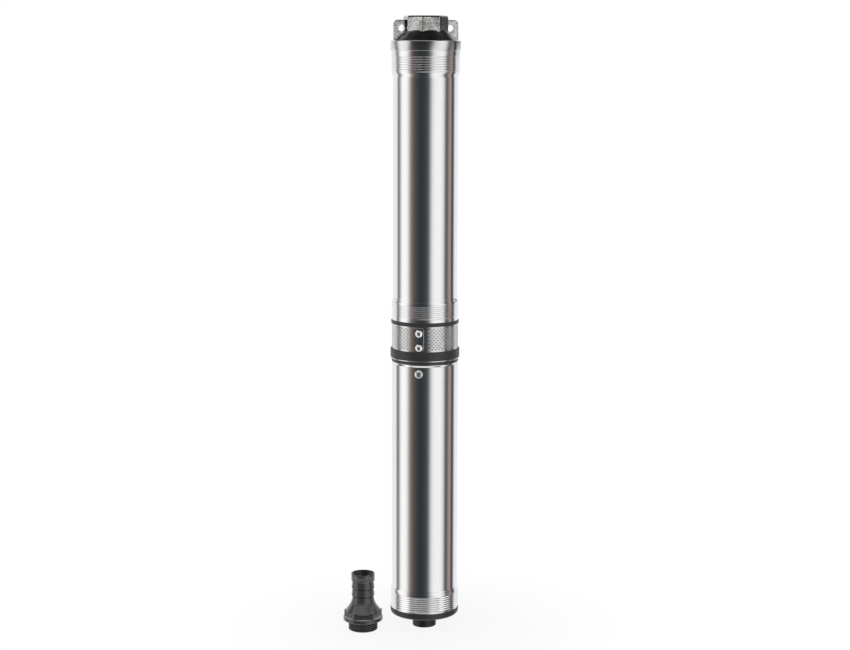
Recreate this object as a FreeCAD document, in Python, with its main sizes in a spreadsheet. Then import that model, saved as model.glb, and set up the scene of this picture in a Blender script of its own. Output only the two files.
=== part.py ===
import FreeCAD, Part
import math
import os
import re
import Sketcher

# Borehole submersible pump: a multistage pump end on an oil-filled motor, standing on the foot of its
# bottom cap, with its hose adapter beside it. Millimetres and degrees, +Z up along the pump's axis.
# The origin is the centre of the foot's underside, and -Y is the front.

# Driving sizes. Every other size and place is worked out from these.
SIZES = {
    # bottom cap and its foot
    "foot_d": 34,
    "foot_len": 20,
    "foot_round": 2,
    "cap_d": 98,
    "cap_t": 8.9,
    "cap_round": 3,
    "cap_plug_len": 17.1,
    "cap_plug_wall": 8.6,
    "cap_hollow": 16,
    # motor tube
    "motor_d": 94,
    "motor_wall": 1.8,
    "motor_len": 360.7,
    "motor_crest_d": 97,
    "motor_rim_d": 96.4,
    "motor_rim_len": 4.4,
    "motor_thread_len": 21,
    "tube_flare": 5,
    # inside of the motor
    "diaphragm_t": 2,
    "diaphragm_dip": 11,
    "lower_skirt_len": 6,
    "lower_plate_t": 8,
    "lower_seat_len": 4,
    "bearing_d": 40,
    "bearing_bore": 17,
    "bearing_w": 12,
    "race_t": 5,
    "race_gap": 0.8,
    "bearing_wall": 4,
    "lower_shaft_len": 8,
    "journal_step": 10,
    "winding_gap": 22,
    "winding_len": 26,
    "winding_bore": 52,
    "winding_d": 84,
    "winding_bevel": 5,
    "core_len": 190,
    "core_bore": 48.6,
    "air_gap": 0.4,
    "end_ring_len": 8,
    "end_ring_d": 45,
    "rotor_shaft_d": 26,
    "end_bell_len": 45.6,
    "bell_skirt_len": 18,
    "bell_skirt_wall": 4,
    "seal_chamber_d": 32,
    "seal_chamber_len": 16,
    "seal_part_len": 7,
    "seal_face_d": 27,
    "seal_shaft_d": 16,
    "seal_gap": 0.3,
    "seal_axial_gap": 0.3,
    "shaft_end_d": 14,
    "shaft_reach": 38.1,
    "slinger_d": 30,
    "slinger_t": 4,
    "slinger_lift": 2,
    # motor screw
    "motor_screw_drop": 12.3,
    "motor_screw_d": 5,
    "motor_screw_len": 10,
    "motor_screw_head_d": 9.4,
    "motor_screw_head_t": 1.7,
    "washer_d": 12,
    "washer_t": 0.8,
    # suction bracket
    "lip_d": 95,
    "lip_len": 7.2,
    "ring_d": 98,
    "ring_len": 11.5,
    "ring_wall": 3,
    "floor_t": 8.4,
    "floor_bore": 40,
    "cage_len": 35.7,
    "pillar_angle": 20,
    "pillar_t": 7.5,
    "pillars": 4,
    "top_ring_d": 96,
    "top_ring_t": 5,
    "bracket_spigot_len": 29,
    "funnel_d": 72,
    "funnel_lip": 2.5,
    "screw_azimuth": -100.5,
    # motor studs and nuts
    "stud_circle_d": 76.2,
    "stud_d": 7.94,
    "stud_depth": 14,
    "stud_over": 3,
    "nut_af": 12.7,
    "nut_t": 6.6,
    # motor lead inlet
    "gland_angle": 157,
    "gland_reach": 34,
    "gland_d": 11,
    "gland_bore": 6.4,
    "gland_depth": 8,
    "gland_over": 6,
    "notch_w": 8,
    "notch_len": 8,
    # strainer
    "strainer_d": 93,
    "strainer_t": 0.8,
    "hole_across": 4.5,
    "hole_columns": 24,
    "hole_rows": 4,
    "strainer_edge": 5.2,
    "plain_angle": 22,
    "screw_d": 4,
    "screw_len": 8,
    "screw_head_d": 10.5,
    "screw_head_t": 2.4,
    "screw_low": 5.9,
    "screw_spacing": 20.5,
    # pump shell
    "shell_d": 91,
    "shell_wall": 1.5,
    "shell_low_d": 94,
    "shell_low_len": 30,
    "shell_top_d": 95.5,
    "shell_top_len": 34.8,
    "shell_flare": 6.4,
    # stages
    "stage_count": 8,
    "stage_pitch": 36,
    "bowl_wall": 2,
    "bowl_plate_t": 2.5,
    "return_plate_t": 2.5,
    "return_plate_drop": 15.5,
    "return_plate_d": 75,
    "bowl_vanes": 8,
    "bowl_vane_in": 20,
    "hub_gap": 0.3,
    "eye_d": 36,
    "eye_wall": 2.2,
    "eye_gap": 0.4,
    "impeller_d": 74,
    "impeller_lift": 1,
    "impeller_t": 14,
    "shroud_t": 2,
    "impeller_vanes": 6,
    "vane_t": 2,
    "vane_arc_r": 26,
    "vane_arc_offset": 22,
    "hub_d": 22,
    # pump shaft and what is on it
    "shaft_af": 12,
    "shaft_stub_d": 10,
    "shaft_stub_len": 9,
    "shaft_join_gap": 1,
    "coupling_d": 25,
    "coupling_lift": 12.4,
    "coupling_len": 52,
    "pin_d": 4,
    "pin_inset": 10,
    "sleeve_d": 19,
    "shaft_nut_af": 17,
    "shaft_nut_t": 7,
    # top bearing
    "top_housing_len": 19,
    "top_housing_wall": 3.5,
    "spokes": 6,
    "spoke_w": 4,
    "spoke_len": 11,
    "bush_wall": 3,
    "bush_len": 15,
    "bush_drop": 0.5,
    "hub_wall": 3.5,
    # discharge head
    "head_turn": 15,
    "head_spigot_len": 40.6,
    "head_thread_len": 30,
    "flange_d": 98,
    "flange_t": 13.9,
    "cone_foot_d": 86,
    "cone_len": 14,
    "octagon_af": 58,
    "octagon_rise": 33.9,
    "octagon_bevel": 0.8,
    "outlet_minor_d": 38.95,
    "outlet_thread_len": 22,
    "outlet_bevel": 1.5,
    "relief_d": 42.4,
    "relief_len": 3.4,
    "chamber_d": 46,
    "chamber_len": 43,
    "seat_pocket_d": 49,
    "seat_pocket_len": 6,
    "spigot_mouth_d": 76,
    "ear_reach": 46.3,
    "ear_rise": 28.2,
    "ear_t": 5,
    "ear_round": 6,
    "ear_hole_d": 9.3,
    "ear_hole_reach": 35,
    "ear_hole_rise": 16.8,
    # check valve
    "seat_bore": 30,
    "valve_gap": 0.3,
    "valve_seal_t": 2,
    "valve_seal_d": 38,
    "valve_disc_d": 39,
    "valve_disc_t": 3.7,
    "valve_nose_d": 26,
    "valve_nose_len": 11.3,
    "valve_nose_tip_d": 18,
    "valve_nose_bevel": 4,
    "stem_d": 8,
    "stem_over": 2,
    "guide_len": 6,
    "guide_rim_wall": 3,
    "guide_hub_d": 14,
    "guide_arm_w": 4,
    "guide_arms": 3,
    "guide_sink": 1,
    "spring_d": 13.6,
    "spring_wire": 1.2,
    "spring_turns": 5,
    "spring_end_gap": 0.3,
    # square-section seal rings
    "ring_seal_side": 3,
    "ring_seal_inset": 8,
    "head_seal_inset": 5,
    # hose adapter
    "adapter_x": -88.2,
    "adapter_y": -21,
    "adapter_turn": 34,
    "adapter_bore": 27,
    "adapter_thread_d": 41.9,
    "adapter_thread_len": 14.6,
    "adapter_bevel": 1,
    "adapter_flange_d": 57,
    "adapter_flange_t": 5.1,
    "adapter_hex_af": 47,
    "adapter_hex_t": 10.8,
    "adapter_cone_d": 50,
    "adapter_cone_foot": 8.6,
    "adapter_cone_len": 10.2,
    "adapter_cone_top_d": 34,
    "adapter_neck_d": 31.2,
    "adapter_neck_rise": 12.2,
    "barb_d": 33.5,
    "barb_pitch": 11,
    "barbs": 2,
    "barb_step": 0.5,
    "adapter_top_d": 33.25,
    "adapter_top_len": 11.3,
    # small steps at the ends of threads and spigots, and how far a cut runs past its wall
    "thread_step": 1,
    "overcut": 1,
    # clearances
    "seat_gap": 0.05,
    "running_gap": 0.05,
}

# Heights up the pump and the radii that several pieces share, worked out from the sizes.
LEVELS = {
    "tube_foot": "foot_len + cap_t",
    "cap_plug_top": "tube_foot + cap_plug_len",
    "motor_thread_low": "tube_foot + motor_rim_len",
    "motor_thread_high": "motor_thread_low + motor_thread_len",
    "motor_top": "tube_foot + motor_len",
    "motor_bore_r": "motor_d / 2 - motor_wall",
    "motor_wide_bore_r": "motor_crest_d / 2 - motor_wall",
    "motor_fit_r": "motor_bore_r - seat_gap",
    "lower_housing_low": "cap_plug_top + diaphragm_t",
    "lower_plate_low": "lower_housing_low + lower_skirt_len",
    "lower_plate_high": "lower_plate_low + lower_plate_t",
    "lower_bearing_low": "lower_plate_high + lower_seat_len",
    "lower_bearing_high": "lower_bearing_low + bearing_w",
    "rotor_low": "lower_bearing_high + journal_step",
    "core_low": "rotor_low + winding_gap",
    "core_high": "core_low + core_len",
    "bell_low": "motor_top - end_bell_len",
    "seal_chamber_high": "bell_low + bell_skirt_len + seal_chamber_len + 2 * seal_gap",
    "upper_bearing_low": "bell_low + journal_step / 2",
    "upper_bearing_high": "upper_bearing_low + bearing_w",
    "bearing_hub_r": "bearing_d / 2 + bearing_wall",
    "shaft_end": "motor_top + shaft_reach",
    "ring_low": "motor_top + lip_len",
    "floor_high": "motor_top + floor_t",
    "cage_low": "ring_low + ring_len",
    "cage_high": "cage_low + cage_len",
    "shell_foot": "cage_high + top_ring_t",
    "stack_low": "shell_foot + bracket_spigot_len",
    "stack_high": "stack_low + stage_count * stage_pitch",
    "spigot_low": "stack_high + top_housing_len",
    "shell_top": "spigot_low + head_spigot_len",
    "flange_top": "shell_top + flange_t",
    "head_top": "flange_top + octagon_rise",
    "ear_hole_level": "flange_top + ear_hole_rise",
    "strainer_bore_r": "strainer_d / 2 - strainer_t",
    "shell_bore_r": "shell_d / 2 - shell_wall",
    "shell_fit_r": "shell_bore_r - 4 * seat_gap",
    "shell_low_bore_r": "shell_low_d / 2 - shell_wall",
    "shell_top_bore_r": "shell_top_d / 2 - shell_wall",
    "coupling_low": "motor_top + coupling_lift",
    "coupling_high": "coupling_low + coupling_len",
    "eye_hole_r": "eye_d / 2 + eye_gap",
    "bush_r": "sleeve_d / 2 + running_gap",
    "bush_high": "spigot_low - bush_drop",
    "outlet_low": "head_top - outlet_thread_len",
    "relief_low": "outlet_low - relief_len",
    "chamber_low": "relief_low - chamber_len",
    "seat_low": "chamber_low - seat_pocket_len",
    "valve_seal_low": "chamber_low + valve_gap",
    "valve_disc_low": "valve_seal_low + valve_seal_t",
    "valve_disc_high": "valve_disc_low + valve_disc_t",
    "guide_low": "relief_low - guide_len",
    "head_seal_level": "spigot_low + head_seal_inset",
    "bracket_seal_level": "stack_low - ring_seal_inset",
    "bell_seal_level": "bell_low + ring_seal_inset",
    "washer_seat_r": "motor_d / 2",
    "motor_screw_level": "motor_top - motor_screw_drop",
    "adapter_hex_low": "adapter_thread_len + adapter_flange_t",
    "adapter_hex_high": "adapter_hex_low + adapter_hex_t",
    "adapter_cone_low": "adapter_hex_low + adapter_cone_foot",
    "adapter_cone_high": "adapter_cone_low + adapter_cone_len",
    "barb_low": "adapter_cone_high + adapter_neck_rise",
    "barb_high": "barb_low + barbs * barb_pitch",
    "adapter_high": "barb_high + adapter_top_len - 3 * barb_step",
}

doc = FreeCAD.newDocument("borehole_pump")
pieces = []
cuts = []


def expression(text):
    """A formula in plain words, with each word turned into a reference to the sheet that holds it."""

    def reference(found):
        word = found.group(0)
        return ("sizes." if word in SIZES else "levels.") + word

    return re.sub(r"[a-z][a-z_]*(?![a-z_]*\()", reference, text)


def fill_sheet(name, cells):
    """A spreadsheet with one aliased cell for each name."""
    sheet = doc.addObject("Spreadsheet::Sheet", name)
    for row, (alias, content) in enumerate(cells.items(), 1):
        sheet.set(f"A{row}", alias)
        sheet.set(f"B{row}", content)
        sheet.setAlias(f"B{row}", alias)
    return sheet


sizes = fill_sheet("sizes", {name: str(number) for name, number in SIZES.items()})
levels = fill_sheet("levels", {name: "=" + expression(text) for name, text in LEVELS.items()})
doc.recompute()


def value(name):
    """The number that a sheet holds now."""
    return float(sizes.get(name) if name in SIZES else levels.get(name))


def new_body(label, turn=None, groups=False):
    """A body for one piece. turn swings it about the pump's axis, groups lets it hold several solids."""
    body = doc.addObject("PartDesign::Body", label)
    body.Label = label
    body.AllowCompound = groups
    if turn:
        body.Placement.Rotation = FreeCAD.Rotation(FreeCAD.Vector(0, 0, 1), 1)
        body.setExpression("Placement.Rotation.Angle", expression(turn))
    pieces.append(body)
    return body


def origin_item(body, role):
    return next(item for item in body.Origin.OriginFeatures if item.Role == role)


def new_sketch(body, name, role="XZ_Plane", lift=None, swing=None):
    """A sketch on one of the body's planes, lifted along Z or swung about the Z axis by a formula."""
    sketch = body.newObject("Sketcher::SketchObject", name)
    sketch.AttachmentSupport = (origin_item(body, role), [""])
    sketch.MapMode = "FlatFace"
    along_z = "z" if role == "XY_Plane" else "y"
    if swing:
        spin = FreeCAD.Vector(0, 0, 1) if role == "XY_Plane" else FreeCAD.Vector(0, 1, 0)
        sketch.AttachmentOffset = FreeCAD.Placement(FreeCAD.Vector(), FreeCAD.Rotation(spin, 1))
        sketch.setExpression("AttachmentOffset.Rotation.Angle", expression(swing))
    if lift:
        sketch.setExpression(f"AttachmentOffset.Base.{along_z}", expression(lift))
    return sketch


def hold(sketch, kind, *where, text, start):
    """A dimension whose value is a formula. start is where the geometry lies before the first solve."""
    index = sketch.addConstraint(Sketcher.Constraint(kind, *where, float(start)))
    sketch.setExpression(f"Constraints[{index}]", expression(text))


def hold_point(sketch, geometry, point, across, up, start):
    """Pin a point at (across, up). A plain 0 puts it on the sketch's axis."""
    if across == "0":
        sketch.addConstraint(Sketcher.Constraint("PointOnObject", geometry, point, -2))
    else:
        hold(sketch, "DistanceX", -1, 1, geometry, point, text=across, start=start[0])
    if up == "0":
        sketch.addConstraint(Sketcher.Constraint("PointOnObject", geometry, point, -1))
    else:
        hold(sketch, "DistanceY", -1, 1, geometry, point, text=up, start=start[1])


def outline(sketch, corners):
    """A closed outline of straight edges through corners given as pairs of formulas."""
    count = len(corners)
    first = sketch.GeometryCount
    # the corners start on a plain circle, and their dimensions carry them to their real places
    starts = []
    for k in range(count):
        angle = 2 * math.pi * k / count
        across = 0 if corners[k][0] == "0" else 40 + 20 * math.cos(angle)
        up = 0 if corners[k][1] == "0" else 40 + 20 * math.sin(angle)
        starts.append(FreeCAD.Vector(across, up, 0))
    for k in range(count):
        sketch.addGeometry(Part.LineSegment(starts[k], starts[(k + 1) % count]), False)
    for k in range(count):
        sketch.addConstraint(
            Sketcher.Constraint("Coincident", first + k, 2, first + (k + 1) % count, 1)
        )
    for k, (across, up) in enumerate(corners):
        hold_point(sketch, first + k, 1, across, up, starts[k])


def rectangle(inner, outer, low, high):
    """The four corners of an upright rectangle."""
    return [(inner, low), (outer, low), (outer, high), (inner, high)]


def circle(sketch, across, up, diameter, start):
    """A circle whose centre and diameter are formulas. start is (across, up, diameter) as numbers."""
    centre = FreeCAD.Vector(start[0], start[1], 0)
    index = sketch.addGeometry(Part.Circle(centre, FreeCAD.Vector(0, 0, 1), start[2] / 2), False)
    hold_point(sketch, index, 3, across, up, start)
    hold(sketch, "Diameter", index, text=diameter, start=start[2])
    return index


def regular_polygon(sketch, sides, across_flats, across="0", start=0):
    """A regular polygon with its first edge upright, round a centre on the sketch's X axis."""
    radius = value(across_flats) / 2 / math.cos(math.pi / sides)
    centre = FreeCAD.Vector(start, 0, 0)
    first = sketch.GeometryCount
    corners = []
    for k in range(sides + 1):
        angle = 2 * math.pi * (k - 0.5) / sides
        corners.append(centre + FreeCAD.Vector(radius * math.cos(angle), radius * math.sin(angle), 0))
    for k in range(sides):
        sketch.addGeometry(Part.LineSegment(corners[k], corners[k + 1]), False)
    ring = sketch.addGeometry(Part.Circle(centre, FreeCAD.Vector(0, 0, 1), radius), True)
    for k in range(sides):
        sketch.addConstraint(
            Sketcher.Constraint("Coincident", first + k, 2, first + (k + 1) % sides, 1)
        )
        sketch.addConstraint(Sketcher.Constraint("PointOnObject", first + k, 1, ring))
    for k in range(1, sides):
        sketch.addConstraint(Sketcher.Constraint("Equal", first, first + k))
    sketch.addConstraint(Sketcher.Constraint("Vertical", first))
    hold_point(sketch, ring, 3, across, "0", centre)
    hold(
        sketch,
        "Diameter",
        ring,
        text=f"{across_flats} / cos(180 / {sides})",
        start=2 * radius,
    )


def revolve(body, name, *outlines, cut=False, sweep=None, sketch=None, axis="V_Axis"):
    """Turn closed outlines of (radius, height) about the axis, as material or as a cut."""
    if sketch is None:
        sketch = new_sketch(body, name + "_outline")
    for corners in outlines:
        outline(sketch, corners)
    kind = "PartDesign::Groove" if cut else "PartDesign::Revolution"
    turned = body.newObject(kind, name)
    turned.Profile = sketch
    turned.ReferenceAxis = (sketch, [axis])
    turned.Angle = 360
    if sweep:
        turned.Midplane = True
        turned.setExpression("Angle", expression(sweep))
    if cut:
        cuts.append(turned)
    return turned


def pad(body, name, sketch, length, both_ways=False):
    raised = body.newObject("PartDesign::Pad", name)
    raised.Profile = sketch
    raised.SideType = "Symmetric" if both_ways else "One side"
    raised.setExpression("Length", expression(length))
    return raised


def pocket(body, name, sketch, length, both_ways=False, flip=False):
    cut = body.newObject("PartDesign::Pocket", name)
    cut.Profile = sketch
    cut.SideType = "Symmetric" if both_ways else "One side"
    cut.Reversed = flip
    cut.setExpression("Length", expression(length))
    cuts.append(cut)
    return cut


def round_the_axis(body, name, feature, count):
    """Repeat a feature evenly about the body's Z axis. count names a size."""
    pattern = body.newObject("PartDesign::PolarPattern", name)
    pattern.Originals = [feature]
    pattern.Axis = (origin_item(body, "Z_Axis"), [""])
    pattern.Angle = 360
    pattern.setExpression("Occurrences", expression(count))
    body.Tip = pattern
    return pattern


def dress_edges(body, name, kind, size, chosen):
    """Round or bevel the edges that chosen picks. chosen gets an edge and says yes or no."""
    doc.recompute()
    before = body.Tip
    names = [f"Edge{k}" for k, edge in enumerate(before.Shape.Edges, 1) if chosen(edge)]
    dressed = body.newObject(f"PartDesign::{kind}", name)
    dressed.Base = (before, names)
    dressed.setExpression("Radius" if kind == "Fillet" else "Size", expression(size))
    body.Tip = dressed
    return dressed


def rim_at(radius, height):
    """Chooses the round edge of one radius at one height."""

    def chosen(edge):
        round_edge = hasattr(edge.Curve, "Radius") and abs(edge.Curve.Radius - radius) < 1e-3
        return round_edge and abs(edge.BoundBox.ZMin - height) < 1e-3

    return chosen


def turned_piece(label, *outlines, turn=None):
    """A piece that is one turned form, or a group of them."""
    body = new_body(label, turn=turn, groups=len(outlines) > 1)
    revolve(body, label + "_form", *outlines)
    return body


def hexagonal_bore(body, name, low, length, gap="seat_gap"):
    """A bore for the hexagonal shaft, from one height up."""
    sketch = new_sketch(body, name + "_outline", "XY_Plane", lift=low)
    regular_polygon(sketch, 6, "shaft_af")
    return pocket(body, name, sketch, length, flip=True)


def vane(body, name, low, height, inner_r, outer_r):
    """One curved vane: a strip between two arcs about one centre, cut off by two circles."""
    sketch = new_sketch(body, name + "_outline", "XY_Plane", lift=low)
    up = FreeCAD.Vector(0, 0, 1)
    offset = value("vane_arc_offset")
    ends = []
    for radius in (value("vane_arc_r"), value("vane_arc_r") - value("vane_t")):
        places = []
        for reach in (outer_r[1], inner_r[1]):
            along = (offset**2 + reach**2 - radius**2) / (2 * offset)
            across = math.sqrt(max(reach**2 - along**2, 0.01))
            places.append(FreeCAD.Vector(along, across, 0))
        angles = [math.atan2(p.y, p.x - offset) for p in places]
        arc = Part.ArcOfCircle(Part.Circle(FreeCAD.Vector(offset, 0, 0), up, radius), *angles)
        sketch.addGeometry(arc, False)
        ends.append(places)
    sketch.addGeometry(Part.LineSegment(ends[0][0], ends[1][0]), False)
    sketch.addGeometry(Part.LineSegment(ends[0][1], ends[1][1]), False)
    for reach, text in (outer_r[::-1], inner_r[::-1]):
        index = sketch.addGeometry(Part.Circle(FreeCAD.Vector(), up, reach), True)
        sketch.addConstraint(Sketcher.Constraint("Coincident", index, 3, -1, 1))
        hold(sketch, "Radius", index, text=text, start=reach)
    join = Sketcher.Constraint
    rim, eye = 4, 5
    for arc in (0, 1):
        sketch.addConstraint(join("PointOnObject", arc, 1, rim))
        sketch.addConstraint(join("PointOnObject", arc, 2, eye))
        sketch.addConstraint(join("Coincident", 2, arc + 1, arc, 1))
        sketch.addConstraint(join("Coincident", 3, arc + 1, arc, 2))
    sketch.addConstraint(join("Coincident", 1, 3, 0, 3))
    hold_point(sketch, 0, 3, "vane_arc_offset", "0", (offset, 0))
    hold(sketch, "Radius", 0, text="vane_arc_r", start=value("vane_arc_r"))
    hold(
        sketch,
        "Radius",
        1,
        text="vane_arc_r - vane_t",
        start=value("vane_arc_r") - value("vane_t"),
    )
    return pad(body, name, sketch, height)


def bottom_cap():
    """End cap with its round foot, and a hollow plug that carries the diaphragm."""
    body = turned_piece(
        "bottom_cap",
        [
            ("0", "0"),
            ("foot_d / 2", "0"),
            ("foot_d / 2", "foot_len"),
            ("cap_d / 2", "foot_len"),
            ("cap_d / 2", "tube_foot"),
            ("motor_wide_bore_r - seat_gap", "tube_foot"),
            ("motor_wide_bore_r - seat_gap", "cap_plug_top"),
            ("motor_wide_bore_r - cap_plug_wall", "cap_plug_top"),
            ("motor_wide_bore_r - cap_plug_wall", "cap_plug_top - cap_hollow"),
            ("0", "cap_plug_top - cap_hollow"),
        ],
    )
    dress_edges(body, "foot_rounding", "Fillet", "foot_round", rim_at(value("foot_d") / 2, 0))
    dress_edges(
        body, "cap_rounding", "Fillet", "cap_round", rim_at(value("cap_d") / 2, value("foot_len"))
    )


def motor_housing():
    """Steel tube of the motor, widened at its foot where its thread is rolled."""
    body = turned_piece(
        "motor_housing",
        [
            ("motor_wide_bore_r", "tube_foot"),
            ("motor_rim_d / 2", "tube_foot"),
            ("motor_rim_d / 2", "motor_thread_low"),
            ("motor_crest_d / 2", "motor_thread_low + thread_step"),
            ("motor_crest_d / 2", "motor_thread_high"),
            ("motor_d / 2", "motor_thread_high + tube_flare"),
            ("motor_d / 2", "motor_top"),
            ("motor_bore_r", "motor_top"),
            ("motor_bore_r", "motor_thread_high + tube_flare"),
            ("motor_wide_bore_r", "motor_thread_high"),
        ],
        turn="screw_azimuth",
    )
    sketch = new_sketch(body, "screw_hole_outline", "YZ_Plane")
    hole = value("motor_screw_d") + 2 * value("seat_gap")
    circle(
        sketch,
        "0",
        "motor_screw_level",
        "motor_screw_d + 2 * seat_gap",
        (0, value("motor_screw_level"), hole),
    )
    pocket(body, "screw_hole", sketch, "motor_d", flip=True)


def diaphragm():
    """Rubber wall between the motor's filling and the well, with a domed dip."""
    turned_piece(
        "diaphragm",
        [
            ("0", "cap_plug_top - diaphragm_dip"),
            ("motor_wide_bore_r / 2", "cap_plug_top - diaphragm_dip"),
            ("motor_wide_bore_r - cap_plug_wall - diaphragm_t", "cap_plug_top"),
            ("motor_fit_r", "cap_plug_top"),
            ("motor_fit_r", "lower_housing_low"),
            ("motor_wide_bore_r - cap_plug_wall - 2 * diaphragm_t", "lower_housing_low"),
            ("motor_wide_bore_r / 2 - diaphragm_t", "lower_housing_low - diaphragm_dip"),
            ("0", "lower_housing_low - diaphragm_dip"),
        ],
    )


def lower_bearing_housing():
    """Plate that carries the motor's lower bearing, with a hub and a skirt down to the diaphragm."""
    turned_piece(
        "lower_bearing_housing",
        [
            ("bearing_bore / 2 + race_t + race_gap", "lower_plate_low"),
            ("motor_fit_r - bearing_wall", "lower_plate_low"),
            ("motor_fit_r - bearing_wall", "lower_housing_low"),
            ("motor_fit_r", "lower_housing_low"),
            ("motor_fit_r", "lower_plate_high"),
            ("bearing_hub_r", "lower_plate_high"),
            ("bearing_hub_r", "lower_bearing_high"),
            ("bearing_d / 2 + seat_gap", "lower_bearing_high"),
            ("bearing_d / 2 + seat_gap", "lower_bearing_low"),
            ("bearing_bore / 2 + race_t + race_gap", "lower_bearing_low"),
        ],
    )


def bearing(name, low, high):
    """A sealed ball bearing as its two rings. The inner ring turns with the shaft."""
    turned_piece(
        name + "_outer",
        rectangle("bearing_bore / 2 + race_t + race_gap", "bearing_d / 2", low, high),
    )
    turned_piece(
        name + "_inner",
        rectangle("bearing_bore / 2 + seat_gap", "bearing_bore / 2 + race_t", low, high),
    )


def stator():
    """Laminated core pressed in the motor tube, and the end turns of its windings."""
    turned_piece("stator_core", rectangle("core_bore / 2", "motor_fit_r", "core_low", "core_high"))

    def end_turns(near, far):
        return [
            ("winding_bore / 2", near),
            ("winding_d / 2", near),
            ("winding_d / 2", f"{far[0]} {far[1]} winding_bevel"),
            ("winding_d / 2 - winding_bevel", far[0]),
            ("winding_bore / 2 + winding_bevel", far[0]),
            ("winding_bore / 2", f"{far[0]} {far[1]} winding_bevel"),
        ]

    turned_piece(
        "end_windings",
        end_turns("core_low", ("core_low - winding_len", "+")),
        end_turns("core_high", ("core_high + winding_len", "-")),
    )


def motor_rotor():
    """Motor shaft with its journals, the rotor core and the rings that short its bars."""
    body = turned_piece(
        "motor_shaft",
        [
            ("0", "lower_bearing_low - lower_shaft_len"),
            ("bearing_bore / 2", "lower_bearing_low - lower_shaft_len"),
            ("bearing_bore / 2", "lower_bearing_high"),
            ("rotor_shaft_d / 2", "lower_bearing_high"),
            ("rotor_shaft_d / 2", "upper_bearing_low"),
            ("bearing_bore / 2", "upper_bearing_low"),
            ("bearing_bore / 2", "upper_bearing_high"),
            ("seal_shaft_d / 2", "upper_bearing_high"),
            ("seal_shaft_d / 2", "motor_top + slinger_lift"),
            ("shaft_end_d / 2", "motor_top + slinger_lift"),
            ("shaft_end_d / 2", "shaft_end"),
            ("0", "shaft_end"),
        ],
    )
    sketch = new_sketch(body, "pin_hole_outline", "YZ_Plane")
    circle(
        sketch,
        "0",
        "coupling_low + pin_inset",
        "pin_d + 2 * seat_gap",
        (0, value("coupling_low") + value("pin_inset"), value("pin_d")),
    )
    pocket(body, "pin_hole", sketch, "coupling_d", both_ways=True)
    turned_piece(
        "rotor_core",
        rectangle(
            "rotor_shaft_d / 2 + seat_gap", "core_bore / 2 - air_gap", "core_low", "core_high"
        ),
    )
    turned_piece(
        "rotor_end_rings",
        rectangle(
            "rotor_shaft_d / 2 + seat_gap", "end_ring_d / 2", "core_low - end_ring_len", "core_low"
        ),
        rectangle(
            "rotor_shaft_d / 2 + seat_gap",
            "end_ring_d / 2",
            "core_high",
            "core_high + end_ring_len",
        ),
    )


def motor_end_bell():
    """Upper end of the motor: bearing hub, seal chamber, stud holes, screw hole and lead inlet."""
    body = turned_piece(
        "motor_end_bell",
        [
            ("seal_shaft_d / 2 + seal_gap", "motor_top"),
            ("motor_fit_r", "motor_top"),
            ("motor_fit_r", "bell_low"),
            ("motor_fit_r - bell_skirt_wall", "bell_low"),
            ("motor_fit_r - bell_skirt_wall", "bell_low + bell_skirt_len"),
            ("bearing_hub_r", "bell_low + bell_skirt_len"),
            ("bearing_hub_r", "upper_bearing_low"),
            ("bearing_d / 2 + seat_gap", "upper_bearing_low"),
            ("bearing_d / 2 + seat_gap", "upper_bearing_high"),
            ("seal_chamber_d / 2", "upper_bearing_high"),
            ("seal_chamber_d / 2", "seal_chamber_high"),
            ("seal_shaft_d / 2 + seal_gap", "seal_chamber_high"),
        ],
        turn="screw_azimuth",
    )
    revolve(
        body,
        "seal_groove",
        rectangle(
            "motor_fit_r - ring_seal_side",
            "motor_fit_r + overcut",
            "bell_seal_level - ring_seal_side / 2 - seat_gap",
            "bell_seal_level + ring_seal_side / 2 + seat_gap",
        ),
        cut=True,
    )
    stud_holes(body, "motor_top", "stud_depth")
    sketch = new_sketch(body, "gland_hole_outline", "XY_Plane", "motor_top", "gland_angle")
    circle(sketch, "gland_reach", "0", "gland_d", (value("gland_reach"), 0, value("gland_d")))
    pocket(body, "gland_hole", sketch, "gland_depth")
    sketch = new_sketch(body, "screw_hole_outline", "YZ_Plane")
    place = (0, value("motor_screw_level"), value("motor_screw_d"))
    circle(sketch, "0", "motor_screw_level", "motor_screw_d + 2 * seat_gap", place)
    # the hole runs from the wall inwards, a screw's length deep
    sketch.setExpression("AttachmentOffset.Base.z", expression("motor_fit_r - motor_screw_len"))
    pocket(body, "screw_hole", sketch, "motor_screw_len + overcut", flip=True)


def stud_holes(body, top, depth):
    """The four holes for the motor's studs, down from one height."""
    sketch = new_sketch(body, "stud_hole_outline", "XY_Plane", top, "180 / pillars")
    circle(
        sketch,
        "stud_circle_d / 2",
        "0",
        "stud_d + 2 * seat_gap",
        (value("stud_circle_d") / 2, 0, value("stud_d")),
    )
    hole = pocket(body, "stud_hole", sketch, depth)
    round_the_axis(body, "stud_hole_ring", hole, "pillars")


def seal_ring(label, fit_radius, level):
    """A square-section seal ring in its groove."""
    turned_piece(
        label,
        rectangle(
            f"{fit_radius} - ring_seal_side + seat_gap",
            f"{fit_radius}",
            f"{level} - ring_seal_side / 2",
            f"{level} + ring_seal_side / 2",
        ),
    )


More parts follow.
